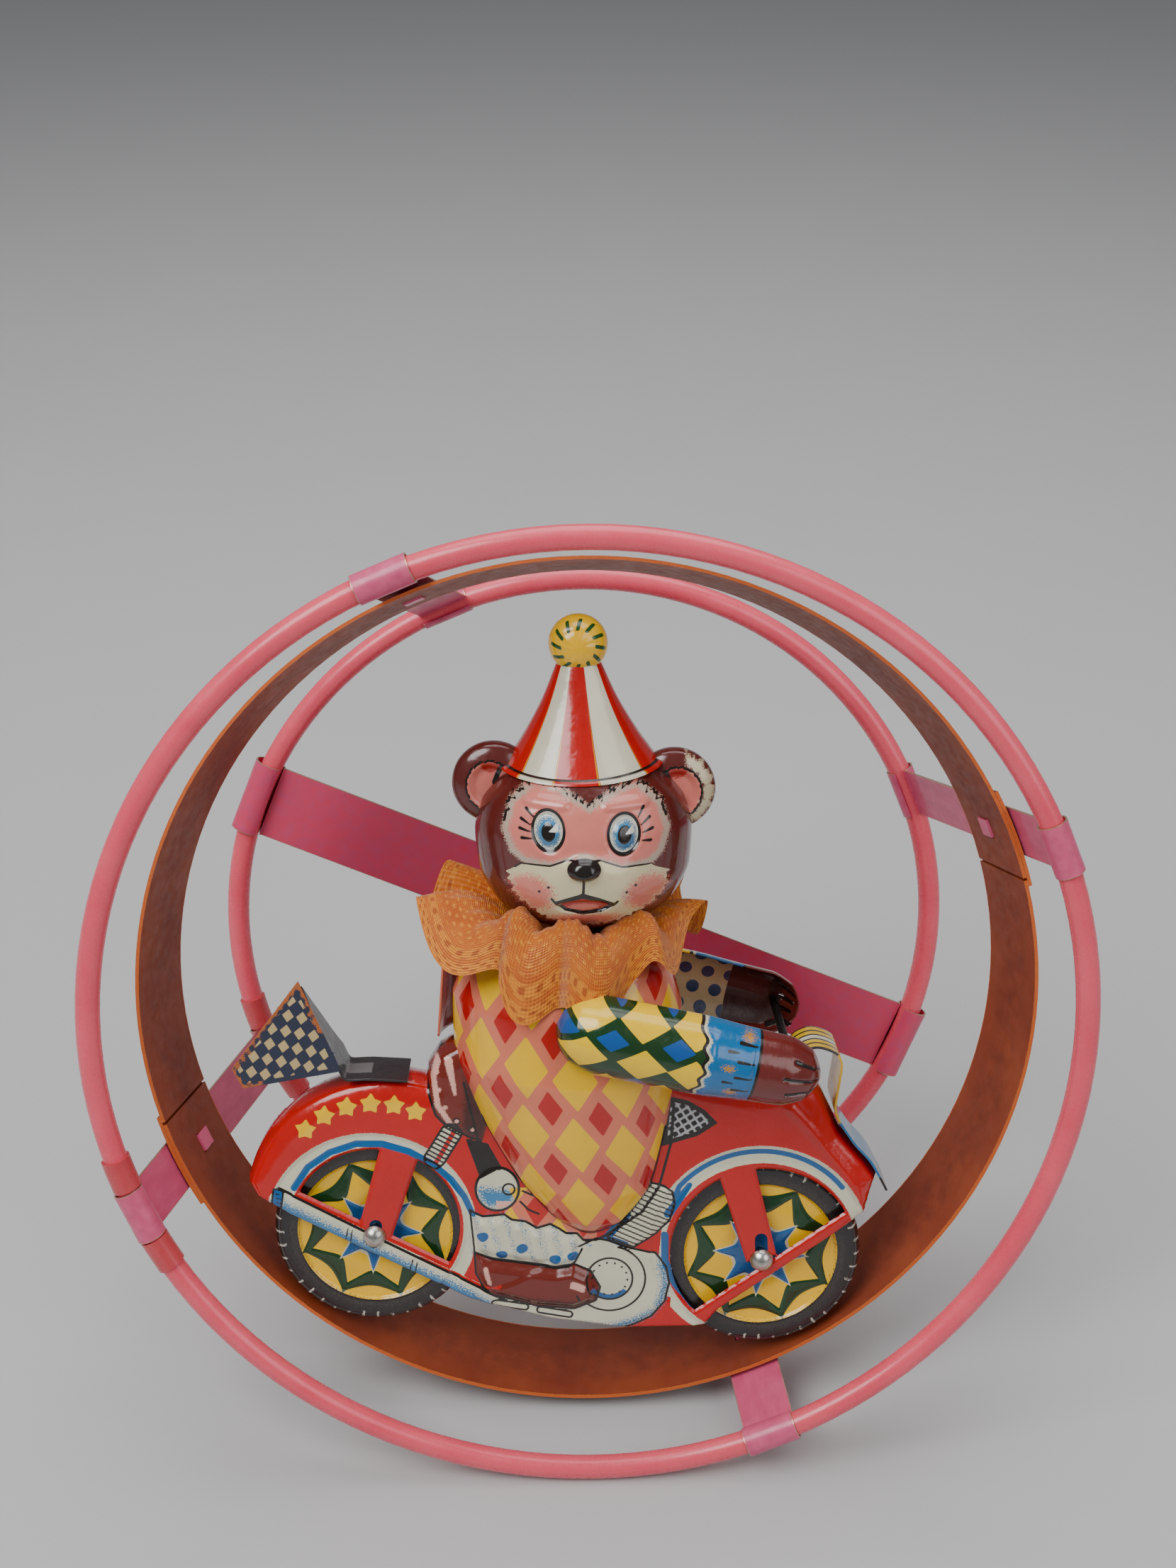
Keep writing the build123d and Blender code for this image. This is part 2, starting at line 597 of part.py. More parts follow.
def shoe_boss(inset, height):
    """The rider's shoe, pressed out of the body's side."""
    toe, heel = (2.0, -54.6), (-12.5, -52.0)
    boss = make_hull((Pos(*toe) * Circle(4.4 - inset)).edges() + (Pos(*heel) * Circle(5.0 - inset)).edges())
    return extrude(boss, height - inset)


def body_half(half):
    outline = bike_outline()
    outer = extrude(outline, half) + shoe_boss(0, half + 1.6)
    inner = Pos(0, 0, -1) * extrude(offset(outline, -TIN), half - TIN + 1)
    inner += shoe_boss(TIN, half + 1.6)
    front_half = Pos(0, 0, 50) * Box(300, 300, 100)
    shell = outer + (chest(0) & front_half)
    shell -= inner
    shell -= chest(TIN)
    # the rims are cut away where the wheels come down between the shells
    room = WHEEL_R + 0.8
    shell -= Pos(*REAR_AXLE, 0) * Cylinder(room, 2 * (half - TIN))
    for lift in (0, FRONT_FLOAT / 2, FRONT_FLOAT):
        shell -= Pos(*polar(FRONT_AXLE, lift, SLOT_LEAN), 0) * Cylinder(room, 2 * (half - TIN))
    shell -= extrude(wheel_windows() + slots(), 30)
    return shell


# ---- arms: half shells from shoulder to paw, open towards the body
SHOULDER, PAW = (-0.8, -0.1), (41.0, -5.9)
# distances along the arm, and the share of its half width and bulge there
ARM_RINGS = [
    (-5.0, 0.15),
    (-4.2, 0.48),
    (-2.0, 0.80),
    (3.0, 1.0),
    (20.0, 1.0),
    (28.0, 0.93),
    (36.0, 0.88),
    (40.0, 0.66),
    (42.2, 0.2),
]
ARM_HALF = 7.3
arm_plane = CHEST_HALF_DEPTH + 0.2


def arm_solid(inset):
    dx, dy = PAW[0] - SHOULDER[0], PAW[1] - SHOULDER[1]
    length = hypot(dx, dy)
    ux, uy = dx / length, dy / length
    rings = []
    last = len(ARM_RINGS) - 1
    for number, (along, share) in enumerate(ARM_RINGS):
        if number == 0:
            along += inset
        if number == last:
            along -= inset
        spot = (SHOULDER[0] + ux * along, SHOULDER[1] + uy * along, arm_plane)
        level = Plane(origin=spot, x_dir=(-uy, ux, 0), z_dir=(ux, uy, 0))
        rings.append(level * Ellipse(share * ARM_HALF - inset, share * ARM_BULGE - inset))
    return loft(rings)


def arm_tabs(grow):
    tabs = []
    for spot in ((2.2, 6.0), (2.2, -7.0)):
        size = (3.0 + 2 * grow, 0.8 + 2 * grow, 5.6)
        tabs.append(Pos(spot[0], spot[1], arm_plane + 0.6 - 2.8) * Box(*size))
    return tabs[0] + tabs[1]


def arm():
    above = Pos(0, 0, arm_plane + 50) * Box(300, 300, 100)
    shell = (arm_solid(0) & above) - arm_solid(TIN)
    return shell + arm_tabs(0)


def far_arm_shell():
    """The far arm has a hole at the shoulder for the pivot pin."""
    return arm() - Pos(0, 0, 20) * Cylinder(PIVOT_R + 0.6, 40)


shell = body_half(NEAR_HALF) - arm_tabs(0.15)
place("near_body_shell", near(shell), RIDER)
far_shell = body_half(FAR_HALF) - arm_tabs(0.15)
eyelet_r = PIVOT_R + RUN_FIT + 0.5
far_shell -= Pos(0, 0, 20) * Cylinder(eyelet_r + 0.02, 30)
far_shell -= Pos(*GREAT, 20) * Cylinder(ARBOR_R + 0.6, 40)
place("far_body_shell", far(far_shell), RIDER)
place("near_arm", near(arm()), RIDER)
place("far_arm", far(far_arm_shell()), RIDER)

# the eyelet in the rider's back turns on the pivot pin
eyelet_tube = Pos(0, 0, CHEST_HALF_DEPTH - 2.0) * Cylinder(eyelet_r, 5.0) - Cylinder(PIVOT_R + RUN_FIT, 60)
eyelet_rim = Cylinder(eyelet_r + 1.0, 0.5) - Cylinder(PIVOT_R + RUN_FIT, 2)
eyelet_tube += Pos(0, 0, CHEST_HALF_DEPTH + 0.4) * eyelet_rim
place("pivot_eyelet", far(eyelet_tube), RIDER)

bar_spot = (36.6, -5.4)
handlebar_reach = arm_plane + 4.0
place("handlebar_rod", near(rod(0.8, bar_spot, -handlebar_reach, handlebar_reach)), RIDER)


# ================================================================ back cover
# the far half of the jacket stands out behind as a cover, cut off square below
COVER_LOW, COVER_HIGH = -9.9, 7.6
cover_out = (CHEST_HALF_WIDTH + 2.3, CHEST_HALF_DEPTH + 2.0)


def cover_ring(reach, low, high):
    """An oval tube round the jacket, between two heights."""
    level = Plane(origin=(-3.8, low, 0), x_dir=(1, 0, 0), z_dir=(0, 1, 0))
    wall = Ellipse(*cover_out) - Ellipse(cover_out[0] - reach, cover_out[1] - reach)
    return extrude(level * wall, high - low)


sector = make_face(Polyline((-3.8, 0), (-60, -3.0), (-60, -60), (-27.0, -60), close=True))
sector = Plane(origin=(0, -40, 0), x_dir=(1, 0, 0), z_dir=(0, 1, 0)) * mirror(sector, about=Plane.XZ)
cover = cover_ring(TIN, COVER_LOW, COVER_HIGH) & extrude(sector, 80)
lug_box = Pos(-25.0, COVER_LOW - 1.5, -FAR_HALF - 2.9) * Box(10, 4.2, 5.0)
cover += (cover_ring(1.4, COVER_LOW - 3.0, COVER_LOW + 0.5) - cover_ring(1.0, -20, 5)) & lug_box
place("back_cover", near(cover), RIDER)


# ================================================================ windscreen, tail bracket and flag
def bent_strip(path, thick, low, high):
    line = Polyline(*path)
    ribbon = trace(line, thick)
    return Pos(0, 0, low) * extrude(ribbon, high - low)


def beside(spot, forward, up):
    return (spot[0] + forward, spot[1] + up)


screen_top = [(37.2, -11.4), (38.8, -6.8), (42.3, -5.0), (46.2, -6.2), (47.3, -9.0)]
screen_gaps = [(2.5, -1.5), (2.1, -0.9), (1.4, -0.4), (1.9, -2.3)]
screen_foot = [beside(spot, *gap) for spot, gap in zip(NOSE[1:], screen_gaps)]
place("windscreen", near(bent_strip([*screen_top, *screen_foot], TIN, -5.5, 4.2)), RIDER)

fender_top = (FENDER_C[0], FENDER_C[1] + FENDER_R)
tail_steps = [(-17.6, 17.5), (-14.4, 10.4), (-10.6, 2.7), (-8.6, -0.1), (-4.6, 0.3), (2.2, 0.4)]
tail_path = [beside(fender_top, *step) for step in tail_steps]
tail = bent_strip(tail_path, TIN, -5.0, 5.0)
# its upper end is cut to a slanting point that the flag hangs from
cut = make_face(Polyline((5.0, 17.5), (-5.0, 2.7), (-9.0, 2.7), (-9.0, 30), (5.0, 30), close=True))
cut = Plane(origin=(-80, fender_top[1], 0), x_dir=(0, 0, 1), z_dir=(1, 0, 0)) * cut
tail -= extrude(cut, 120)
place("tail_bracket", near(tail), RIDER)
flag_steps = [(-18.3, 18.5), (-29.6, 0.7), (-27.4, -3.0), (-9.9, 1.6), (-11.0, 4.0)]
flag = make_face(Polyline(*[beside(fender_top, *step) for step in flag_steps], close=True))
place("tail_flag", near(Pos(0, 0, 5.05) * extrude(flag, TIN)), RIDER)


# ================================================================ bear's head with its hat
# heights from the middle of the face, and the share of the head's half width there
FACE_RINGS = [
    (-13.9, 0.34),
    (-12.4, 0.58),
    (-8.5, 0.83),
    (-2.5, 0.975),
    (4.0, 1.0),
    (9.5, 0.93),
    (13.6, 0.76),
    (15.6, 0.6),
]
HAT_RINGS = [(0.0, 1.0), (0.32, 0.72), (0.64, 0.48), (1.0, 0.27)]
NECK_R, NECK_FOOT = 6.0, -15.5


def level_ring(height, half_width):
    level = Plane(origin=(0, height, 0), x_dir=(1, 0, 0), z_dir=(0, 1, 0))
    return level * Ellipse(half_width, half_width * BEAR_HEAD_DEPTH)


def head_solid(inset):
    """Head, hat, pompom and ears as one closed form, drawn in by the inset."""
    last = len(FACE_RINGS) - 1
    rings = []
    for number, (height, share) in enumerate(FACE_RINGS):
        if number == 0:
            height += inset
        if number == last:
            height -= inset
        rings.append(level_ring(height, share * BEAR_HEAD_R - inset))
    solid = loft(rings)
    neck = loft([level_ring(NECK_FOOT + inset, NECK_R - inset), level_ring(-10.0, NECK_R - inset)])
    rings = []
    for along, share in HAT_RINGS:
        height = HAT_BASE + (HAT_TOP + 0.6 - HAT_BASE) * along
        if along == 0:
            height += inset
        rings.append(level_ring(height, share * HAT_BASE_R - inset))
    solid += neck + loft(rings, ruled=True)
    solid += Pos(0, HAT_BASE + 22.8, 0) * Sphere(POMPOM_R - inset)
    for side in (-1, 1):
        solid += Pos(side * 15.3, 11.5, 0) * scale(Sphere(EAR_R - inset), by=(1, 1, 0.42))
    if inset > 0:
        solid += loft([level_ring(9.0, HAT_BASE_R * 0.6), level_ring(HAT_BASE + 3.0, HAT_BASE_R * 0.6)])
    return solid


def head_half():
    front_half = Pos(0, 0, 50) * Box(300, 300, 100)
    shell = (head_solid(0) & front_half) - head_solid(TIN)
    return Pos(-3.0, 29.0, 0) * Location((0, 0, 0), (0, 0, HEAD_TILT)) * shell


place("head_front_shell", near(head_half()), RIDER)
place("head_back_shell", far(head_half()), RIDER)

# ================================================================ neck ruff
ruff_top = [(8.6, 13.2), (8.8, 14.4), (15.0, 17.2), (21.3, 22.5), (26.5, 24.0), (27.0, 20.0)]
ruff_section = [*ruff_top, (26.0, 8.0), (20.5, 10.0), (15.0, 13.0)]
ring = revolve(Plane.XY * make_face(Polyline(*ruff_section, close=True)), Axis.Y, 360)
ring = Pos(-3.8, 0, 0) * scale(ring, by=(1, 1, 0.78))
place("neck_ruff", near(ring), RIDER)
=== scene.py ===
import json

import bmesh
import bpy
import numpy as np
from mathutils import Matrix, Vector


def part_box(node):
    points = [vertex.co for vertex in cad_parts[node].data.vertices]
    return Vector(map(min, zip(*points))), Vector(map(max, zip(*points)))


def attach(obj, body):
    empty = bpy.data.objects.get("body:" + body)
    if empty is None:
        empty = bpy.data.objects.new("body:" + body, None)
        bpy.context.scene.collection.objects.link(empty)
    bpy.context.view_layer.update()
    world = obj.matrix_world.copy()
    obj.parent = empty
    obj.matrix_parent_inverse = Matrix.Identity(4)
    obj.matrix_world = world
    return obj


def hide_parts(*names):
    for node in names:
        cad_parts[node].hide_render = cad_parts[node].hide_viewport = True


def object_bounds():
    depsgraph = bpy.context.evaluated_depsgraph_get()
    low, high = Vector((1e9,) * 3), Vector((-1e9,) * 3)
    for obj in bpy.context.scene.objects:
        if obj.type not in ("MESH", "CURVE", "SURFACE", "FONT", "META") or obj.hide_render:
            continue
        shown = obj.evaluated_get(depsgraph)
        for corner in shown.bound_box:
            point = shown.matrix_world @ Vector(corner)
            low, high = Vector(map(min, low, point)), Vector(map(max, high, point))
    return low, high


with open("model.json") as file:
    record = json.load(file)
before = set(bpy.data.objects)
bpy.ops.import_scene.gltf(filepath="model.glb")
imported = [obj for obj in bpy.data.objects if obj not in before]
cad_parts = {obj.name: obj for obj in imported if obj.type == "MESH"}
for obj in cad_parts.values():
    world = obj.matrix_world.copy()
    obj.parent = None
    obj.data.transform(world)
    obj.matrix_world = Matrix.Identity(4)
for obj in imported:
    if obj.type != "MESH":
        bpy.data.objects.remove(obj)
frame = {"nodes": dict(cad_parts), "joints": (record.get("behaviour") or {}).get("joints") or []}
cad_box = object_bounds()

# ---------------------------------------------------------------- hoops
# Two hoops bent from solid pink plastic rod, the big one in front. The moulded skin is
# glossy and a little waxy, with faint ripples from bending and a few dark scuffs.


def tint(code):
    """A colour given as six hex digits, as linear light with its alpha."""
    parts = np.array([int(code[k : k + 2], 16) for k in (0, 2, 4)]) / 255
    linear = np.where(parts < 0.04045, parts / 12.92, ((parts + 0.055) / 1.055) ** 2.4)
    return (*linear.tolist(), 1.0)


class Finish:
    """One material. Each method adds a node and gives back its output, ready for the next one."""

    def __init__(self, name, rough=0.4, coat=0.0, metal=0.0, **shader):
        self.material = bpy.data.materials.new(name)
        self.material.use_nodes = True
        self.tree = self.material.node_tree
        self.shader = self.tree.nodes["Principled BSDF"].inputs
        self.shader["Roughness"].default_value = rough
        self.shader["Coat Weight"].default_value = coat
        self.shader["Coat Roughness"].default_value = 0.06
        self.shader["Metallic"].default_value = metal
        for socket, value in shader.items():
            self.shader[socket.replace("_", " ")].default_value = value

    def feed(self, socket, value):
        if isinstance(value, bpy.types.NodeSocket):
            self.tree.links.new(value, socket)
        else:
            socket.default_value = value

    def node(self, kind, inputs, out=0, **settings):
        new = self.tree.nodes.new("ShaderNode" + kind)
        for name, value in settings.items():
            setattr(new, name, value)
        for key, value in inputs.items():
            self.feed(new.inputs[key], value)
        return new.outputs[out]

    def place(self, axes=None, origin=(0, 0, 0), unit=0.001):
        """Where a point lies on the given axes, in millimetres from their origin."""
        point = self.node("TexCoord", {}, out=3)
        turn = Matrix(axes).transposed().to_euler() if axes is not None else (0, 0, 0)
        inputs = {0: point, 1: origin, 2: turn, 3: (unit,) * 3}
        return self.node("Mapping", inputs, vector_type="TEXTURE")

    def apart(self, vector, out):
        return self.node("SeparateXYZ", {0: vector}, out=out)

    def maths(self, operation, *values):
        return self.node("Math", dict(enumerate(values)), operation=operation)

    def along(self, vector, direction):
        return self.node("VectorMath", {0: vector, 1: direction}, out=1, operation="DOT_PRODUCT")

    def noise(self, vector, scale, detail=3.0, rough=0.55, stretch=None):
        if stretch is not None:
            vector = self.node("Mapping", {0: vector, 3: stretch})
        return self.node(
            "TexNoise", {"Vector": vector, "Scale": scale, "Detail": detail, "Roughness": rough}
        )

    def step(self, value, low, high, to_low=0.0, to_high=1.0):
        """Runs from one number to another as the value goes from low to high, and stops there."""
        return self.node("MapRange", {0: value, 1: low, 2: high, 3: to_low, 4: to_high})

    def mix(self, share, under, over):
        return self.node("Mix", {0: share, 6: under, 7: over}, out=2, data_type="RGBA")

    def field(self, name):
        return self.node("Attribute", {}, out=2, attribute_name=name)

    def bump(self, height, depth, under=None):
        inputs = {"Strength": 1.0, "Distance": depth, "Height": height}
        if under is not None:
            inputs["Normal"] = under
        return self.node("Bump", inputs)

    def finish(self, colour, rough=None, normal=None, metal=None):
        self.feed(self.shader["Base Color"], colour)
        for name, value in (("Roughness", rough), ("Normal", normal), ("Metallic", metal)):
            if value is not None:
                self.feed(self.shader[name], value)
        return self.material


def coat_nodes(material, *names):
    """Gives CAD pieces this material in every slot they have."""
    for name in names:
        mesh = frame["nodes"][name].data
        mesh.materials.clear()
        mesh.materials.append(material)


def moulded_plastic(name, colour, shadow):
    """Glossy rod: soft light inside, slow ripples, faint mottling, a few scuffs that have picked up dirt."""
    skin = Finish(name, rough=0.26, coat=0.25, Subsurface_Weight=0.12, Subsurface_Scale=0.002)
    skin.shader["Subsurface Radius"].default_value = (1.0, 0.35, 0.3)
    here = skin.place()
    mottle = skin.noise(here, 0.09, 2.0)
    body = skin.mix(skin.step(mottle, 0.35, 0.7), tint(colour), tint(shadow))
    scuff = skin.step(skin.noise(here, 0.55, 6.0, 0.75), 0.735, 0.76)
    rare = skin.step(skin.noise(here, 0.028, 1.0), 0.6, 0.66)
    body = skin.mix(skin.maths("MULTIPLY", scuff, rare), body, tint("5a2a2a"))
    ripple = skin.bump(skin.noise(here, 0.06, 1.0), 0.00005)
    grain = skin.bump(skin.noise(here, 2.6, 4.0), 0.00002, ripple)
    rough = skin.step(skin.noise(here, 0.7, 5.0), 0.3, 0.75, 0.2, 0.38)
    return skin.finish(body, rough, grain)


coat_nodes(moulded_plastic("hoop_plastic", "ee5a6c", "e64e62"), "front_hoop", "back_hoop")
coat_nodes(moulded_plastic("joiner_plastic", "cf4a50", "c23e46"), "front_hoop_joiner", "back_hoop_joiner")

# ---------------------------------------------------------------- tin straps and cross bar
# Four straps and one bar, slit from sheet painted on both faces and rolled round the rods.
# The cut edges are bare tin, and the paint has fine streaks from the roller.

joints = {joint["name"]: joint for joint in frame["joints"]}
swing = joints["rider_swing"]
cage_back = np.array(swing["axis"])
cage_right = np.array([1.0, 0.0, 0.0])
cage_up = np.cross(cage_right, cage_back)
cage_axes = np.array([cage_right, cage_up, -cage_back])
hoop_low, hoop_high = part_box("front_hoop")
cage_middle = np.array((hoop_low + hoop_high) / 2)


def painted_strap(name, colour, angle, half_width):
    """Painted tin with its two cut edges bare. The angle is the strap's place round the cage, in degrees."""
    paint = Finish(name, rough=0.36, coat=0.2)
    here = paint.place(cage_axes, cage_middle)
    turn = np.radians(angle)
    across = paint.along(here, (-np.sin(turn), np.cos(turn), 0.0))
    edge = paint.step(paint.maths("ABSOLUTE", across), half_width - 0.16, half_width - 0.06)
    streaks = paint.noise(here, 0.5, 4.0, stretch=(1.0, 1.0, 0.08))
    body = paint.mix(paint.step(streaks, 0.3, 0.75), tint(colour), tint("c74a70"))
    speck = paint.step(paint.noise(here, 1.7, 5.0, 0.7), 0.74, 0.77)
    body = paint.mix(paint.maths("MAXIMUM", edge, speck), body, tint("c9ab8e"))
    rough = paint.step(paint.noise(here, 0.4, 4.0), 0.3, 0.7, 0.28, 0.46)
    normal = paint.bump(paint.noise(here, 0.12, 3.0), 0.0003)
    normal = paint.bump(streaks, 0.00003, normal)
    return paint.finish(body, rough, normal, paint.maths("MULTIPLY", edge, 0.8))


STRAP_HALF, BAR_HALF = 4.9, 7.35
for number, angle in enumerate((22.5, 112.5, 202.5, 292.5), 1):
    coat_nodes(painted_strap(f"strap_paint_{number}", "dd5c82", angle, STRAP_HALF), f"cross_strap_{number}")
coat_nodes(painted_strap("bar_paint", "d4405f", 157.5, BAR_HALF), "centre_bar")

# ---------------------------------------------------------------- running track
# Two strips of red-brown fibre board. The faces are smooth and a little polished by the
# tyres, and the sheared edges are rough and show the brighter orange core.

track_low_depth, TRACK_WIDE = 14.1, 16.0
fibre = Finish("track_fibre", rough=0.5)
here = fibre.place(cage_axes, cage_middle)
depth = fibre.maths("MULTIPLY", fibre.apart(here, 2), -1.0)
ragged = fibre.noise(here, 1.3, 5.0, 0.7)
from_edge = fibre.maths("SUBTRACT", depth, track_low_depth)
from_back = fibre.maths("SUBTRACT", track_low_depth + TRACK_WIDE, depth)
inward = fibre.maths("MINIMUM", from_edge, from_back)
torn = fibre.step(fibre.maths("ADD", inward, fibre.maths("MULTIPLY", ragged, -0.5)), 0.0, -0.14)
board = fibre.mix(fibre.step(fibre.noise(here, 0.07, 3.0), 0.35, 0.7), tint("93411f"), tint("7c3018"))
worn = fibre.maths(
    "MULTIPLY", fibre.step(inward, 2.5, 5.0), fibre.step(fibre.noise(here, 0.35, 5.0), 0.35, 0.7)
)
board = fibre.mix(fibre.maths("MULTIPLY", worn, 0.5), board, tint("5e2112"))
board = fibre.mix(torn, board, tint("cf6425"))
fibre_rough = fibre.step(fibre.noise(here, 0.5, 4.0), 0.3, 0.7, 0.42, 0.62)
fibre_grain = fibre.bump(fibre.noise(here, 3.0, 5.0, 0.7), 0.00005)
fibre_grain = fibre.bump(fibre.maths("MULTIPLY", torn, ragged), 0.0002, fibre_grain)
coat_nodes(fibre.finish(board, fibre_rough, fibre_grain), "track_strip_upper", "track_strip_lower")

# ---------------------------------------------------------------- pins, axles and clockwork
# Turned and drawn steel for the pins, axles, arbors and pillars, stamped brass for the
# gears, and tinned plate for the motor frame and the key. All have handling marks.


def bare_metal(name, colour, dull, rough, streak):
    metal = Finish(name, rough=rough, metal=1.0)
    here = metal.place()
    cloud = metal.noise(here, 0.35, 5.0)
    lines = metal.noise(here, 2.0, 4.0, stretch=streak)
    body = metal.mix(metal.step(cloud, 0.35, 0.75), tint(colour), tint(dull))
    spread = metal.step(metal.maths("ADD", cloud, lines), 0.7, 1.3, rough - 0.08, rough + 0.14)
    return metal.finish(body, spread, metal.bump(lines, 0.00002))


steel = bare_metal("bright_steel", "d5d3cc", "a9a69d", 0.27, (1.0, 0.15, 1.0))
brass = bare_metal("gear_brass", "c9a75a", "8f713a", 0.32, (1.0, 1.0, 0.2))
plate = bare_metal("tinned_plate", "bcbab2", "8e8b83", 0.34, (0.2, 1.0, 1.0))
blued = bare_metal("spring_steel", "565b66", "3a3d45", 0.3, (1.0, 0.2, 1.0))
coat_nodes(steel, "pivot_pin", "pivot_clip", "front_axle", "rear_axle", "idler_stud", "second_arbor")
coat_nodes(steel, "winding_arbor", "motor_pillars")
coat_nodes(brass, "axle_pinion", "idler_cluster", "second_wheel", "second_pinion", "great_wheel")
coat_nodes(brass, "ratchet_wheel", "pivot_eyelet")
coat_nodes(plate, "near_motor_plate", "far_motor_plate", "ratchet_click", "winding_key")
coat_nodes(blued, "mainspring")
coat_nodes(bare_metal("handlebar_steel", "4a4846", "2b2a29", 0.42, (1.0, 0.1, 1.0)), "handlebar_rod")

# ---------------------------------------------------------------- pressed and printed tin
# All the coloured tin is printed flat, one ink after another, varnished, and then pressed.
# So each piece is a sheet of points, and each ink a field on it, positive where the ink lies.

pivot = np.array(swing["pos_m"])
front_wheel_at = np.array(joints["front_wheel_spin"]["pos_m"])
rear_wheel_at = np.array(joints["rear_wheel_spin"]["pos_m"])
forward = (front_wheel_at - rear_wheel_at) / np.linalg.norm(front_wheel_at - rear_wheel_at)
rider_axes = np.array([forward, np.cross(forward, cage_back), -cage_back])


def in_rider(points):
    """From millimetres forward, up and out of the near side to metres in the toy's frame."""
    return pivot + points @ rider_axes * 0.001


def on_sheet(place):
    """The forward and up distances of a place in the toy's frame, in millimetres."""
    return tuple((rider_axes[:2] @ (np.array(place) - pivot) * 1000).tolist())


REAR, FRONT = on_sheet(rear_wheel_at), on_sheet(front_wheel_at)
FAR_OFF = -9.0  # an ink field where there is none of that ink


class Stamping:
    """A pressed piece: grids of points in millimetres on the rider's axes, each with its ink fields."""

    def __init__(self, name):
        self.name = name
        self.points, self.faces, self.inks = [], [], {}
        self.count = 0

    def add(self, points, faces, inks):
        points = points.reshape(-1, 3)
        for ink in set(self.inks) | set(inks):
            rows = self.inks.setdefault(ink, [np.full(self.count, FAR_OFF)])
            rows.append(np.full(len(points), FAR_OFF) if ink not in inks else inks[ink].ravel())
        for face in faces:
            self.faces += (face + self.count).tolist()
        self.points.append(points)
        self.count += len(points)

    def grid(self, points, inks, flip=False):
        """A sheet on rows and columns of points, with four-sided faces between them."""
        rows, columns = points.shape[:2]
        number = np.arange(rows * columns).reshape(rows, columns)
        corners = (number[:-1, :-1], number[:-1, 1:], number[1:, 1:], number[1:, :-1])
        quads = np.stack(corners, -1).reshape(-1, 4)
        self.add(points, [quads[:, ::-1] if flip else quads], inks)

    def blank(self, u, v, inside, height, inks, side, skirt):
        """A sheet trimmed to where the inside field is positive. Points within half a cell of the
        edge slide onto it along the field's slope, cells with one point outside become triangles,
        and where skirt is true at an edge the sheet turns down to the middle plane."""
        cell = u[0, 1] - u[0, 0]
        slope_v, slope_u = np.gradient(inside, cell)
        steep = np.maximum(np.hypot(slope_u, slope_v), 0.5)
        near_edge = np.abs(inside) < 0.5 * cell
        shift = np.where(near_edge, inside / steep**2, 0)
        points = np.stack([u - slope_u * shift, v - slope_v * shift, side * height], -1)
        kept = inside > -0.5 * cell
        number = np.arange(u.size).reshape(u.shape)
        corners = np.stack([number[:-1, :-1], number[:-1, 1:], number[1:, 1:], number[1:, :-1]], -1)
        there = kept.ravel()[corners]
        held = there.sum(-1)
        quads = corners[held == 4]
        threes = corners[held == 3][there[held == 3]].reshape(-1, 3)
        if side < 0:
            quads, threes = quads[:, ::-1], threes[:, ::-1]
        starts = np.concatenate([quads.ravel(), threes.ravel()])
        ends = np.concatenate([np.roll(quads, -1, 1).ravel(), np.roll(threes, -1, 1).ravel()])
        size = u.size
        lone = ~np.isin(starts * size + ends, ends * size + starts)
        turned_down = lone & skirt.ravel()[starts] & skirt.ravel()[ends]
        starts, ends = starts[turned_down], ends[turned_down]
        self.add(points, [quads, threes], inks)
        if len(starts):
            rims, place = np.unique(np.concatenate([starts, ends]), return_inverse=True)
            flat = points.reshape(-1, 3)[rims]
            wall = np.vstack([flat, flat * (1, 1, 0)])
            head, tail = place[: len(starts)], place[len(starts) :]
            strips = np.stack([tail, head, head + len(rims), tail + len(rims)], -1)
            edge_inks = {ink: np.tile(field.ravel()[rims], 2) for ink, field in inks.items()}
            self.add(wall, [strips], edge_inks)

    def make(self, material, body, wall, node=None, place=in_rider):
        """The finished object, with doubles merged, loose points gone and a wall of real thickness."""
        mesh = bpy.data.meshes.new(self.name)
        mesh.from_pydata(place(np.vstack(self.points)).tolist(), [], self.faces)
        for reader in material.node_tree.nodes:
            if reader.type == "ATTRIBUTE":
                self.inks.setdefault(reader.attribute_name, [np.full(self.count, FAR_OFF)])
        for ink, rows in self.inks.items():
            field = mesh.attributes.new(ink, "FLOAT", "POINT")
            field.data.foreach_set("value", np.concatenate(rows).astype(np.float32))
        press = bmesh.new()
        press.from_mesh(mesh)
        bmesh.ops.remove_doubles(press, verts=press.verts, dist=1e-6)
        bmesh.ops.delete(press, geom=[v for v in press.verts if not v.link_faces], context="VERTS")
        press.to_mesh(mesh)
        press.free()
        mesh.shade_smooth()
        mesh.set_sharp_from_angle(angle=np.radians(50))
        mesh.materials.append(material)
        piece = bpy.data.objects.new(self.name, mesh)
        bpy.context.scene.collection.objects.link(piece)
        if wall:
            thick = piece.modifiers.new("sheet", "SOLIDIFY")
            thick.thickness = wall / 1000
            thick.offset = -1.0
        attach(piece, body)
        if node is not None:
            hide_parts(node)
        return piece


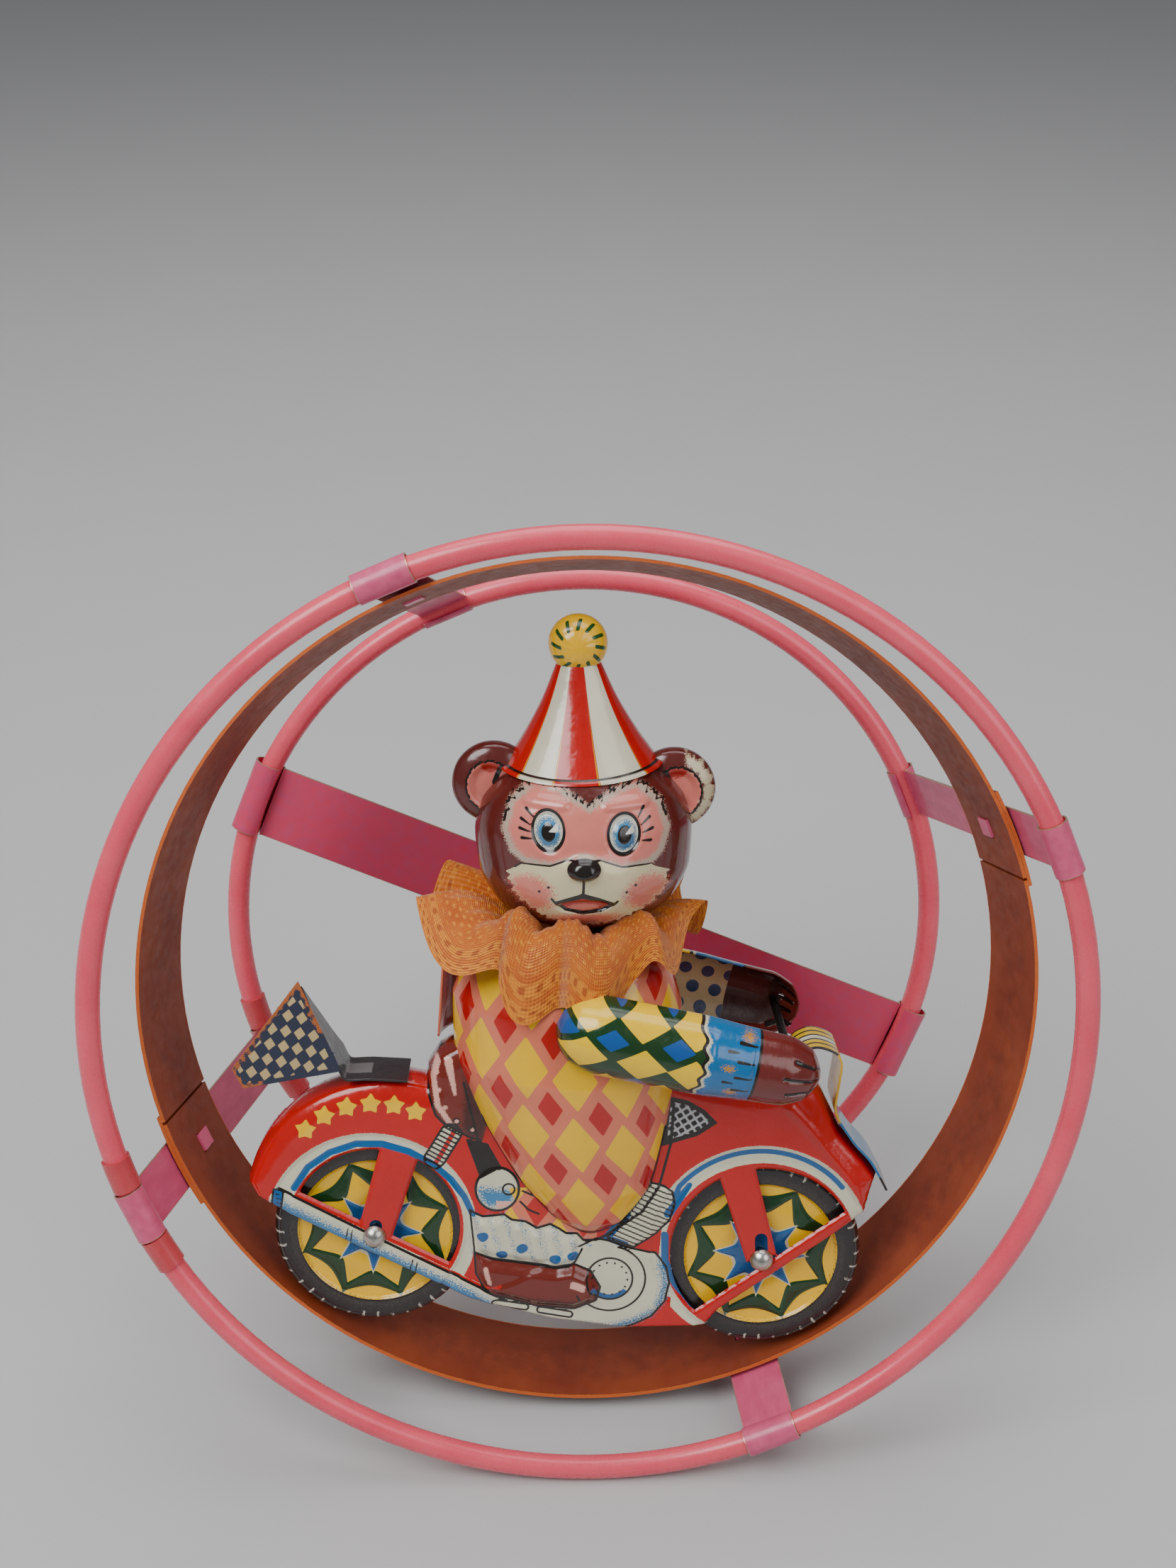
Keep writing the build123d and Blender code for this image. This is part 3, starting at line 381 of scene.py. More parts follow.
def printed_tin(name, base, inks, gloss=0.2, axes=rider_axes, origin=pivot):
    """Varnished litho tin. inks lists (field, colour, speckle): a speckled ink fades out in fine dots."""
    tin = Finish(name, rough=gloss, coat=0.5)
    here = tin.place(axes, origin)
    dots = tin.noise(here, 5.5, 1.0, 0.4)
    body = tint(base)
    for field, colour, speckle in inks:
        lies = tin.field(field)
        if speckle:
            lies = tin.maths("ADD", lies, tin.step(dots, 0.32, 0.68, -speckle, speckle))
        body = tin.mix(tin.step(lies, -0.035, 0.035), body, tint(colour))
    tone = tin.step(tin.noise(here, 0.12, 4.0), 0.3, 0.75, 0.0, 0.16)
    body = tin.mix(tone, body, tint("402018"))
    nick = tin.step(tin.noise(here, 0.9, 8.0, 0.8), 0.735, 0.75)
    rare = tin.step(tin.noise(here, 0.11, 2.0), 0.52, 0.6)
    nick = tin.maths("MULTIPLY", nick, rare)
    body = tin.mix(nick, body, tint("b5a48c"))
    scratch = tin.noise(here, 1.1, 6.0, 0.7, stretch=(1.0, 0.12, 1.0))
    rough = tin.step(scratch, 0.35, 0.8, gloss - 0.05, gloss + 0.18)
    normal = tin.bump(tin.noise(here, 0.2, 3.0), 0.00022)
    normal = tin.bump(scratch, 0.00001, normal)
    return tin.finish(body, rough, normal)


def disc(u, v, at, radius):
    """Distance inside a circle."""
    return radius - np.hypot(u - at[0], v - at[1])


def oval(u, v, at, wide, high):
    """Roughly the distance inside an ellipse: one less its scaled radius, times its mean half size."""
    return (1 - np.hypot((u - at[0]) / wide, (v - at[1]) / high)) * np.sqrt(wide * high)


def bar(u, v, start, end, half, end_half=None):
    """Distance inside a round-ended bar, whose half width may change evenly from end to end."""
    run_u, run_v = end[0] - start[0], end[1] - start[1]
    share = ((u - start[0]) * run_u + (v - start[1]) * run_v) / (run_u**2 + run_v**2)
    share = np.clip(share, 0, 1)
    width = half if end_half is None else half + (end_half - half) * share
    return width - np.hypot(u - start[0] - share * run_u, v - start[1] - share * run_v)


def outline(u, v, corners):
    """Distance inside a closed outline: to its nearest side, positive where a level line
    drawn from the point to one side crosses the outline an odd number of times."""
    nearest = np.full(u.shape, 1e9)
    inside = np.zeros(u.shape, bool)
    for start, end in zip(corners, corners[1:] + corners[:1]):
        nearest = np.minimum(nearest, -bar(u, v, start, end, 0.0))
        if start[1] != end[1]:
            crosses = (start[1] > v) != (end[1] > v)
            inside ^= crosses & (u < start[0] + (v - start[1]) * (end[0] - start[0]) / (end[1] - start[1]))
    return np.where(inside, nearest, -nearest)


def stroke(u, v, path, half):
    """Distance inside an open line of a given half width."""
    return np.maximum.reduce([bar(u, v, a, b, half) for a, b in zip(path, path[1:])])


def edge_of(field, half):
    """A line of this half width along the edge of a field."""
    return half - np.abs(field)


def join(*fields):
    return np.maximum.reduce(fields)


def both(*fields):
    return np.minimum.reduce(fields)


def arc(at, radius, start, end, count):
    """Points along a circle from one angle to another, in degrees."""
    angles = np.radians(np.linspace(start, end, count))
    return [(at[0] + radius * np.cos(a), at[1] + radius * np.sin(a)) for a in angles]


def ease(share):
    """Goes from 0 to 1 with no slope at either end."""
    share = np.clip(share, 0, 1)
    return share * share * (3 - 2 * share)


def through(stations, values, at):
    """A smooth line through values at these stations that never overshoots them: cubics whose
    slope at each station is the harmonic mean of the slopes on its two sides."""
    stations, values = np.asarray(stations, float), np.asarray(values, float)
    sides = np.diff(values) / np.diff(stations)
    before, after = sides[:-1], sides[1:]
    alike = before * after > 0
    shared = np.where(alike, 2 * before * after / np.where(alike, before + after, 1.0), 0.0)
    slope = np.concatenate([sides[:1], shared, sides[-1:]])
    k = np.clip(np.searchsorted(stations, at) - 1, 0, len(stations) - 2)
    span = stations[k + 1] - stations[k]
    t = np.clip((at - stations[k]) / span, 0, 1)
    start = values[k] * (1 + 2 * t) * (1 - t) ** 2 + slope[k] * span * t * (1 - t) ** 2
    return start + values[k + 1] * t * t * (3 - 2 * t) + slope[k + 1] * span * t * t * (t - 1)


YELLOW, CREAM, BLUE, GREEN, BLACK, MAROON = "ffc800", "dcd8b8", "0f5f9c", "063c16", "16130f", "5e211d"

# ---------------------------------------------------------------- wheels
# Each wheel is two pressed dishes with the tyre printed on them: a black tyre with white
# ticks, a yellow dish with a green scalloped ring, and a blue star with a white edge.

WHEEL_R, TYRE_IN, AXLE_HOLE = 19.0, 14.5, 1.05
SCALLOPS, TICKS = 8, 40


def wheel_dish(name, at, side, body, node):
    """Half a wheel: its depth is a smooth profile over the radius, with the scalloped ring raised."""
    share, turn = np.meshgrid(np.linspace(0, 1, 84), np.linspace(0, 2 * np.pi, 257), indexing="ij")
    stations = [0.0, 0.06, 0.3, 0.55, 0.62, 0.66, 0.82, 0.86, 0.93, 1.0]
    radius = through(stations, [AXLE_HOLE, 2.6, 8.0, 12.7, 13.9, 14.6, 17.5, 18.15, 18.8, WHEEL_R], share)
    depth = through(stations, [1.9, 1.9, 2.5, 2.15, 2.2, 2.9, 3.0, 2.7, 1.5, 0.0], share)
    wave = np.abs(np.cos(SCALLOPS / 2 * turn))
    ring_out = TYRE_IN + 0.1 - 2.7 * wave**0.8
    ring_in = TYRE_IN - 2.0 - 4.0 * wave**0.9
    star = 5.0 + 3.6 * (1 - np.abs(np.sin(SCALLOPS / 2 * turn))) ** 1.6
    green = both(ring_out - radius, radius - ring_in)
    dish = TYRE_IN - radius
    depth = depth + 0.22 * ease(green / 0.8 + 0.2) * ease(dish / 1.0) + 0.2 * ease((star - radius) / 0.9)
    beat = np.abs((turn * TICKS / (2 * np.pi)) % 1 - 0.5) * 2 * np.pi * WHEEL_R / TICKS
    ticks = both(0.24 - beat, radius - 17.3 - 0.5 * np.sin(9 * turn))
    points = np.stack([at[0] + radius * np.cos(turn), at[1] + radius * np.sin(turn), side * depth], -1)
    dust = both(radius - 14.2, 16.4 - radius) - 0.9
    inks = {"yellow": dish, "green": green, "white": star + 0.55 - radius, "blue": star - radius}
    inks["ticks"], inks["dust"] = ticks, dust
    half = Stamping(name)
    half.grid(points, inks, flip=side > 0)
    return half.make(wheel_print, body, 0.35, node)


wheel_print = printed_tin(
    "wheel_print",
    "1c1a1a",
    [
        ("yellow", YELLOW, 0),
        ("green", GREEN, 0),
        ("white", CREAM, 0.12),
        ("blue", "1a5f9c", 0),
        ("ticks", "c9c6b8", 0.1),
        ("dust", "3a3531", 1.2),
    ],
    gloss=0.24,
)
for axle, at, body in (("front", FRONT, "front_wheel"), ("rear", REAR, "rear_wheel")):
    wheel_dish(f"{axle}_wheel_near_dish", at, 1, body, f"{axle}_wheel_near_half")
    wheel_dish(f"{axle}_wheel_far_dish", at, -1, body, f"{axle}_wheel_far_half")

# ---------------------------------------------------------------- motorcycle halves
# Each side of the motorcycle is one stamping in red tin: rounded fenders, raised exhaust,
# engine and shoe, printed in cream, blue, brown and black, with windows over the wheels.

BODY_FLAT = 4.95  # the pressed side stands this far out, before its raised features
FENDER_C, FENDER_R = (REAR[0] + 2.3, REAR[1] + 4.9), WHEEL_R + 7.6


def from_rear(forward, up):
    return (REAR[0] + forward, REAR[1] + up)


def from_front(forward, up):
    return (FRONT[0] + forward, FRONT[1] + up)


BIKE_EDGE = [
    *arc(FENDER_C, FENDER_R, 171.5, 78, 40),
    *[(-28.4, -14.6), (-26.6, -11.2), (-23.5, -9.0), (0, -8.0), (17, -11.5), (24, -13.0)],
    *[
        (28.6, -13.6), (33.5, -13.6), (37.6, -12.5), (41.0, -10.5), from_front(8.2, 33.4),
        from_front(12.2, 26.4)
    ],
    *[
        from_front(*step) for step in (
            (17.2, 21.4), (20.2, 17.9), (18.7, 10.1), (-6.8, -11.6), (-9.3, -15.4)
        )
    ],
    *[from_front(*step) for step in ((-23.9, -16.7), (-38.9, -15.5), (-54.3, -12.4))],
    *[from_rear(-17.9, 3.7), from_rear(-22.3, 6.1)],
]
SADDLE = [(-23.6, -9.1), (-25.3, -9.7), (-27.3, -11.9), (-28.5, -14.1), (-28.4, -16.1), (-27.7, -19.4)]
SADDLE += [(-26.3, -23.0), (-24.9, -24.4), (-22.7, -25.6), (-20.0, -26.9), (-17.4, -27.6), (-16.4, -22.0)]
SADDLE += [(-20.0, -9.0)]
RUFFLE = [(-18.9, -41.9), (-16.4, -42.9), (-14.7, -42.6), (-12.5, -42.2), (-11.0, -43.2), (-8.4, -43.4)]
RUFFLE += [
    (-6.2, -44.6), (-3.8, -43.6), (-2.2, -44.4), (-0.7, -45.3), (1.3, -45.2), (2.6, -46.5), (4.9, -46.3)
]
RUFFLE_FOOT = [
    (2.5, -48.2), (1.4, -50.9), (0.3, -52.0), (-2.2, -52.5), (-8.4, -52.0), (-14.1, -51.6),
    (-17.5, -50.4)
]
SHOE = [
    (-17.5, -50.4), (-14.1, -51.4), (-8.4, -51.8), (-2.2, -52.2), (1.3, -51.4), (4.4, -52.6),
    (6.5, -55.9)
]
SHOE += [
    (5.9, -58.8), (2.0, -60.8), (-5.2, -60.7), (-10.4, -59.5), (-13.2, -59.0), (-15.5, -57.4),
    (-17.0, -54.8)
]
ENGINE = [
    (4.9, -46.0), (7.4, -46.3), (11.2, -47.5), (16.3, -48.4), (18.5, -51.0), (19.4, -54.4), (18.9, -58.2)
]
ENGINE += [(16.6, -61.6), (13.5, -63.5), (8.9, -65.4), (-12.0, -65.0), (-17.9, -58.5), (-10.0, -55.0)]
BARREL = [
    (12.9, -35.0), (14.4, -33.9), (16.6, -34.3), (18.4, -35.6), (19.0, -38.0), (18.3, -41.4),
    (16.0, -44.4)
]
BARREL += [(12.1, -47.3), (7.0, -45.6), (10.0, -41.5)]
FILTER = [(15.5, -16.2), (19.6, -16.9), (22.8, -18.6), (25.4, -21.0), (22.0, -23.8), (15.5, -26.4)]
DISC, CRANK = (8.1, -54.1), (-14.1, -37.1)
PIPE = [(-54.0, -42.2), (-35.0, -50.9), (-14.6, -59.8)]


def star(u, v, at, radius):
    """Distance inside a five-pointed star, taken to the slanted sides of its nearest point."""
    reach, turn = np.hypot(u - at[0], v - at[1]), np.arctan2(u - at[0], v - at[1])
    fold = np.abs((turn / (2 * np.pi / 5) + 0.5) % 1 - 0.5) * 2 * np.pi / 5
    return (radius - reach * (np.cos(fold) + 1.45 * np.sin(fold))) * 0.6


def lattice(s, v):
    """The jacket's print on distances round and up it: small red diamonds, and large yellow ones between."""
    one = ((s + 2.5) * -13.2 - (v + 2.8) * -1.0) / (8.9 * -13.2 - 1.0 * 1.6)
    two = ((s + 2.5) * 1.6 + (v + 2.8) * 8.9) / (8.9 * -13.2 - 1.0 * 1.6)

    def diamonds(shift_one, shift_two, wide, high):
        a, b = one - shift_one, two - shift_two
        a, b = a - np.round(a), b - np.round(b)
        return (1 - np.abs(a * 8.9 - b) / wide - np.abs(-a * 1.6 - b * 13.2) / high) * wide * 0.8

    return diamonds(0, 0, 2.3, 3.7), diamonds(0.5, 0.5, 4.1, 6.0)


def bike_art(u, v):
    """Every ink on the motorcycle's side, on distances forward and up from the rider's pivot."""
    # the white bands round the wheel windows, and the white pieces below the saddle
    rear_out = disc(u, v, (-36.9, -47.0), 19.6)
    rear_lip = disc(u, v, from_rear(0.2, 2.0), 16.3)
    front_out = disc(u, v, (35.4, -45.6), 20.6)
    front_lip = disc(u, v, (35.8, -46.6), 18.1)
    pipe = stroke(u, v, PIPE, 2.1)
    over_pipe = stroke(
        u, v, [(-54.4, -39.8), (-47.8, -42.9), (-34.4, -49.2), (-20.0, -55.8), (-11.0, -60.0)], 0.25
    )
    pipe = join(pipe, outline(u, v, ENGINE))
    arches = join(both(rear_out, -rear_lip), both(front_out, -front_lip))
    arches = both(arches, join(v + 57.5, u - 20.0), join(-u - 17.8, u - 17.0))
    ruffle = outline(u, v, RUFFLE + RUFFLE_FOOT)
    shoe = outline(u, v, SHOE)
    saddle = outline(u, v, SADDLE)
    barrel, crank = outline(u, v, BARREL), oval(u, v, CRANK, 4.0, 4.4)
    mesh_edge = outline(u, v, FILTER)
    mesh = mesh_edge - 0.9
    spring = bar(u, v, (-23.3, -26.4), (-26.0, -31.9), 1.9)
    steps = [(-13.0, -60.2, -7.3, -60.7), (-4.4, -61.1, 1.1, -61.7)]
    treads = join(*[bar(u, v, (a, b - 0.4), (c, d - 0.4), 0.62) for a, b, c, d in steps])
    white = join(arches, pipe, ruffle, barrel, crank, spring, treads)

    # blue: the stripes over the wheels, the pipe's cap, the dots on the trouser frill
    reach = np.hypot(u - DISC[0], v - DISC[1])
    turn = np.arctan2(v - DISC[1], u - DISC[0])
    path = [(-51.6, -39.6), (-49.2, -35.2), (-45.3, -31.9), (-40.5, -29.8), (-35.8, -29.5), (-30.8, -30.7)]
    path += [(-26.6, -32.8), (-22.8, -35.8), (-20.1, -39.2), (-18.4, -42.6)]
    blue = stroke(u, v, path, 0.62)
    front_path = [(18.9, -36.6), *arc((35.4, -45.6), 19.4, 145, 42, 24)]
    blue = join(blue, stroke(u, v, front_path, 0.5), bar(u, v, (21.4, -34.0), (18.0, -40.0), 0.5, 0.9))
    blue = join(blue, stroke(u, v, [(17.7, -44.5), (18.2, -50.0), (20.6, -54.6), (24.2, -58.8)], 0.7))
    cap = outline(u, v, [(-55.3, -39.9), (-53.5, -40.4), (-53.8, -44.9), (-55.6, -43.6)])
    dots = [(-16.2, -46.8), (-12.4, -50.3), (-8.7, -48.7), (-2.4, -50.5), (0.9, -49.7)]
    spots = both(join(*[oval(u, v, at, 1.1, 0.95) for at in dots]), ruffle)
    blue = join(blue, cap, spots, both(0.45 - np.abs(reach - 3.75), 1.0 - np.abs(turn + 1.6)))
    blue = join(blue, both(edge_of(barrel + 0.1, 0.7), 11.0 - u, -v - 40.0))

    # blue dusted on for shade, under the pipe, the engine and the frill
    engine = outline(u, v, ENGINE)
    under = [(a - 0.5, b - 1.2) for a, b in PIPE]
    brush = both(stroke(u, v, PIPE, 2.1), stroke(u, v, under, 1.3)) + 0.1
    brush = join(brush, both(engine, 1.5 - engine, join(-v - 60.0, u - 17.0)) - 0.2)
    brush = join(brush, both(ruffle, 0.4 * np.sin(2.2 * u + 0.8 * v) - 0.75))
    brush = join(brush, both(crank, -36.5 - v) - 0.6)

    # the brown saddle and shoe, with their shade, highlights and rivets
    brown = join(shoe, saddle)
    dark = join(both(shoe, -58.2 - v), both(saddle, u + 21.5)) - 0.3
    gleam = stroke(u, v, [(-26.6, -12.6), (-27.2, -15.6), (-26.0, -21.0), (-23.4, -24.6)], 0.55)
    gleam = join(
        gleam, bar(u, v, (-24.6, -12.2), (-23.0, -18.4), 0.8, 0.3),
        bar(u, v, (-15.2, -53.2), (-14.3, -56.2), 0.45)
    )
    toe = outline(u, v, [(0.9, -54.2), (3.7, -55.0), (3.5, -56.5), (0.7, -55.7)])
    rivets = [(-26.6, -14.6), (-26.0, -17.9), (-24.6, -21.2), (-22.4, -23.8), (-19.4, -25.3)]
    gleam = join(
        both(gleam, saddle - 0.3), both(gleam, shoe), toe, *[disc(u, v, at, 0.42) for at in rivets]
    )
    gleam = join(gleam, both(crank, -39.0 - v, u + 14.5) - 0.4)

    # a row of stars on the rear fender, and the trouser's diamonds
    stars = [star(u, v, at, 2.1) for at in ((-49.9, -27.6), (-46.6, -24.6), (-42.6, -22.6), (-38.3, -21.6))]
    stars += [star(u, v, at, 2.1) for at in ((-34.0, -21.6), (-30.0, -22.6))]
    trouser = outline(
        u, v, [(-11.8, -36.6), (6.0, -36.0), (4.9, -46.3), *RUFFLE[::-1][1:10], (-12.4, -41.0)]
    )
    red_diamonds, yellow_diamonds = lattice(u - 8.0, v)
    flesh = trouser
    yellow = join(*stars, both(trouser, yellow_diamonds))
    red = join(both(trouser, red_diamonds), both(0.3 - np.abs(pipe - 0.35), -v - 52.0, u + 33.0, -12.0 - u))
    red = join(red, both(spring, 0.5 - np.abs((u + 22.9) + (v + 26.4) * -0.45)))

    # black: the coil, strut, fins, beads, filter, bands and every outline
    rings = (u + 23.3) * -0.44 + (v + 26.4) * -0.9
    coils = both(spring + 0.1, 0.2 - np.abs((rings % 0.92) - 0.46))
    strut = outline(u, v, [(-20.6, -27.3), (-16.4, -28.0), (-13.6, -32.6), (-17.4, -35.2)])
    along_fins = (u - 16.5) * -0.36 + (v + 35.0) * -0.93
    fins = both(barrel, 0.17 - np.abs((along_fins % 0.98) - 0.49))
    bead = np.abs((turn / (np.pi / 7) + 0.5) % 1 - 0.5) * (np.pi / 7) * 3.35
    beads = 0.24 - np.hypot(bead, reach - 3.35)
    crank_turn = np.arctan2(v - CRANK[1], u - CRANK[0])
    bead = np.abs((crank_turn / (np.pi / 6) + 0.5) % 1 - 0.5) * (np.pi / 6) * 3.3
    beads = join(beads, both(0.22 - np.hypot(bead, np.hypot(u - CRANK[0], v - CRANK[1]) - 3.3), -13.0 - u))
    wire = np.minimum(
        np.abs((u * 0.8 + v * 0.6) % 1.35 - 0.675), np.abs((u * 0.6 - v * 0.8) % 1.35 - 0.675)
    )
    holes = both(mesh, wire - 0.2)
    bands = [((-41.2, -46.8), (-41.7, -50.4)), ((-40.4, -47.2), (-40.8, -50.9))]
    bands += [((-28.9, -52.6), (-29.5, -55.8)), ((-28.0, -53.0), (-28.5, -56.3))]
    knee = [((-9.4, -37.2), (-6.6, -38.3), (-4.7, -39.9)), ((-9.7, -39.4), (-8.0, -41.0), (-6.1, -41.7))]
    dashes = [((-54.9 + 0.15 * k, -40.9 - 0.85 * k), (-54.2 + 0.1 * k, -41.1 - 0.85 * k)) for k in range(4)]
    black = join(coils, strut, fins, both(beads, pipe + 9), both(mesh_edge, -mesh), holes)
    black = join(black, both(edge_of(saddle, 0.24), -u - 17.5), edge_of(spring, 0.2), edge_of(crank, 0.26))
    black = join(
        black, stroke(u, v, RUFFLE, 0.24), stroke(u, v, RUFFLE_FOOT + RUFFLE[:1], 0.2),
        edge_of(shoe, 0.2)
    )
    black = join(black, edge_of(barrel, 0.2), edge_of(treads, 0.2), over_pipe, edge_of(cap, 0.18))
    black = join(
        black, both(edge_of(outline(u, v, ENGINE), 0.22), join(u - 6.0, v + 48.0)),
        0.2 - np.abs(reach - 4.3)
    )
    black = join(
        black, both(0.2 - np.abs(reach - 6.7), join(u - 9.0, -57.0 - v)),
        0.2 - np.abs(np.hypot(u + 12.0, v + 36.9) - 1.1)
    )
    black = join(
        black, *[stroke(u, v, line, 0.14) for line in bands], *[stroke(u, v, line, 0.22) for line in knee]
    )
    black = join(black, *[bar(u, v, *ends, 0.14) for ends in dashes])
    black = join(black, *[0.15 - np.abs(disc(u, v, at, 0.62)) for at in rivets[3:]])
    seam = [(17.0, -18.0), (17.2, -25.4), (15.8, -34.3), (13.0, -39.8), (6.6, -45.3), (4.9, -46.3)]
    black = join(
        black, stroke(u, v, seam, 0.26),
        stroke(u, v, [(-21.6, -16.0), (-18.2, -27.4), (-14.0, -33.0)], 0.22)
    )
    inks = {"flesh": flesh, "white": white, "brush": brush, "blue": blue, "brown": brown, "dark": dark}
    inks.update(gleam=gleam, yellow=yellow, red=red, black=black, silver=mesh)
    raised = {
        "pipe": stroke(u, v, PIPE, 2.1), "shoe": shoe, "engine": outline(u, v, ENGINE), "barrel": barrel
    }
    raised.update(saddle=saddle, crank=crank, ruffle=ruffle, arches=both(-rear_lip, rear_out))
    raised["front"] = both(-front_lip, front_out)
    return inks, raised, fins


def bike_half(name, side, half, cell, node):
    """One side: a flat sheet at one height, less a quarter-round at its edges, plus each raised
    feature eased in over its own distance field, trimmed to the outline less its windows."""
    u, v = np.meshgrid(np.arange(-60.0, 60.0, cell), np.arange(-68.0, -6.0, cell))
    inks, raised, fins = bike_art(u, v)
    edge = outline(u, v, BIKE_EDGE)
    drop_rear = ((u - from_rear(-22, 11.4)[0]) * 21.2 + (v - from_rear(-22, 11.4)[1]) * 48.0) / 52.5
    fork = outline(u, v, strip_corners(REAR, from_rear(4.0, 18.5), 7.4, 6.4))
    rear_hole = both(disc(u, v, from_rear(0.2, 2.0), 15.6), drop_rear, -fork)
    drop_front = ((v - from_front(-22, -20.6)[1]) * 44.0 - (u - from_front(-22, -20.6)[0]) * 37.8) / 58.0
    fork = outline(u, v, strip_corners(FRONT, from_front(-7.0, 19.5), 7.0, 5.8))
    front_hole = both(disc(u, v, from_front(0.1, 1.2), 17.4), drop_front, -fork)
    slots = join(
        bar(u, v, from_front(0, -0.15), from_front(-0.52, 4.27), 1.2),
        bar(u, v, from_rear(0, -1.0), from_rear(0.15, 2.2), 1.2)
    )
    cuts = join(rear_hole, front_hole, slots)
    if side < 0:
        cuts = join(cuts, disc(u, v, KEY_AT, 1.8))
    inside = both(edge, -cuts)

    round_r = 1.3 + 3.0 * ease((v + 45.0) / 12.0)
    height = BODY_FLAT - 1.2 + 1.2 * ease(edge / 1.0)
    height = height - 3.2 * (1 - np.sqrt(1 - (1 - np.clip(edge / round_r, 0, 1)) ** 2)) * (round_r / 4.3)
    height = height + 0.35 * ease(raised["saddle"] / 1.4) + 0.3 * ease(raised["engine"] / 1.0)
    height = height + 0.45 * np.sqrt(np.clip(raised["pipe"] / 2.1, 0, 1))
    height = height + 0.25 * ease(raised["crank"] / 0.5)
    height = height + 0.35 * ease(raised["barrel"] / 0.8) - 0.14 * ease(fins / 0.2 + 0.5)
    height = height + 1.6 * ease(raised["shoe"] / 2.2) + 0.7 * ease(raised["ruffle"] / 2.0)
    height = height - 0.3 * ease(raised["arches"] / 0.8) - 0.3 * ease(raised["front"] / 0.8)
    height = height + 0.2 * ease((raised["ruffle"]) / 1.5) * np.sin(1.9 * u + 0.5 * v)
    crease = stroke(u, v, [(38.6, -17.4), (42.2, -20.8), (46.4, -25.4), (50.2, -29.6), (54.0, -35.0)], 1.6)
    height = height + 0.5 * ease(crease / 1.6)
    rim = np.minimum(-rear_hole, -front_hole)
    height = height - 0.5 * (1 - ease(rim / 0.6)) * (edge > 1.0)
    if side < 0:
        height = height + (half - 5.0) * ease(edge / 2.5 + 0.1)
    shell = Stamping(name)
    shell.blank(u, v, inside, np.maximum(height, 0.6), inks, side, skirt=edge < 0.5 * cell)
    return shell.make(body_print, "rider", 0, node)


def strip_corners(foot, top, top_wide, foot_wide):
    """The four corners of a tapered strip from the fender's edge down to an axle."""
    run = np.array(top) - np.array(foot)
    across = np.array([run[1], -run[0]]) / np.linalg.norm(run)
    corners = [np.array(top) - across * top_wide / 2, np.array(top) + across * top_wide / 2]
    corners += [np.array(foot) + across * foot_wide / 2, np.array(foot) - across * foot_wide / 2]
    return [tuple(corner.tolist()) for corner in corners]


KEY_AT = on_sheet(joints["winding_key_turn"]["pos_m"])
body_print = printed_tin(
    "body_print",
    "c80a04",
    [
        ("flesh", "e57a5c", 0),
        ("white", "dcdabe", 0.08),
        ("brush", "3a80b0", 0.9),
        ("brown", "752418", 0),
        ("dark", "431511", 0.7),
        ("silver", "b9bcc0", 0),
        ("gleam", "eeb3a2", 0.15),
        ("yellow", YELLOW, 0),
        ("red", "c81a12", 0),
        ("blue", BLUE, 0),
        ("black", BLACK, 0),
    ],
    gloss=0.17,
)
bike_half("motorcycle_near_side", 1, 5.0, 0.27, "near_body_shell")
bike_half("motorcycle_far_side", -1, 6.7, 0.34, "far_body_shell")

# ---------------------------------------------------------------- jacket
# The rider's body is pressed from the same two sheets, in a long oval that narrows to the
# knees. It is printed in a lattice of yellow and red diamonds on a flesh ground.

CHEST_UP = [-46.4, -46.0, -42.0, -35.0, -24.0, -12.0, 0.0, 8.0, 11.2, 12.6, 12.9]
CHEST_MIDDLE = [3.6, 3.6, 3.2, 2.0, -0.7, -3.1, -3.8, -3.6, -3.6, -3.6, -3.6]
CHEST_WIDE = [0.0, 0.14, 0.42, 0.66, 0.85, 0.985, 1.0, 0.84, 0.62, 0.40, 0.0]
CHEST_DEEP = [0.0, 0.28, 0.50, 0.68, 0.87, 1.0, 0.96, 0.80, 0.60, 0.42, 0.0]
HALF_WIDE, HALF_DEEP = 21.0, 15.0


def jacket_half(name, side, node):
    """Half an oval at each height. The print goes by the distance round the oval from its middle."""
    up = np.concatenate(
        [np.linspace(-46.4, -46, 4), np.linspace(-45.7, 12.5, 190), np.linspace(12.6, 12.9, 4)]
    )
    v, turn = np.meshgrid(up, np.linspace(0, np.pi, 181), indexing="ij")
    middle = np.interp(v, CHEST_UP, CHEST_MIDDLE)
    wide = np.interp(v, CHEST_UP, CHEST_WIDE) * HALF_WIDE
    deep = np.interp(v, CHEST_UP, CHEST_DEEP) * HALF_DEEP
    wide = through(CHEST_UP, np.array(CHEST_WIDE) * HALF_WIDE, v) * 0.5 + wide * 0.5
    u, out = middle + wide * np.cos(turn), deep * np.sin(turn)
    pace = np.hypot(wide * np.sin(turn), deep * np.cos(turn)) * (np.pi / 180)
    s = np.cumsum(pace, axis=1)
    s = s[:, 90:91] - s
    red, yellow = lattice(s, v)
    step = BODY_FLAT + (1.7 if side < 0 else 0.0)
    seam = both(0.5 - np.abs(out - step - 0.25), -v - 22.0)
    pleats = [((-9.4, -37.2), (-6.6, -38.3), (-4.7, -39.9)), ((-9.7, -39.4), (-8.0, -41.0), (-6.1, -41.7))]
    black = join(seam, *[stroke(u, v, line, 0.22) for line in pleats])
    jacket = Stamping(name)
    inks = {"red": red, "yellow": yellow, "black": black}
    jacket.grid(np.stack([u, v, side * out], -1), inks, flip=side > 0)
    return jacket.make(jacket_print, "rider", 0, node)


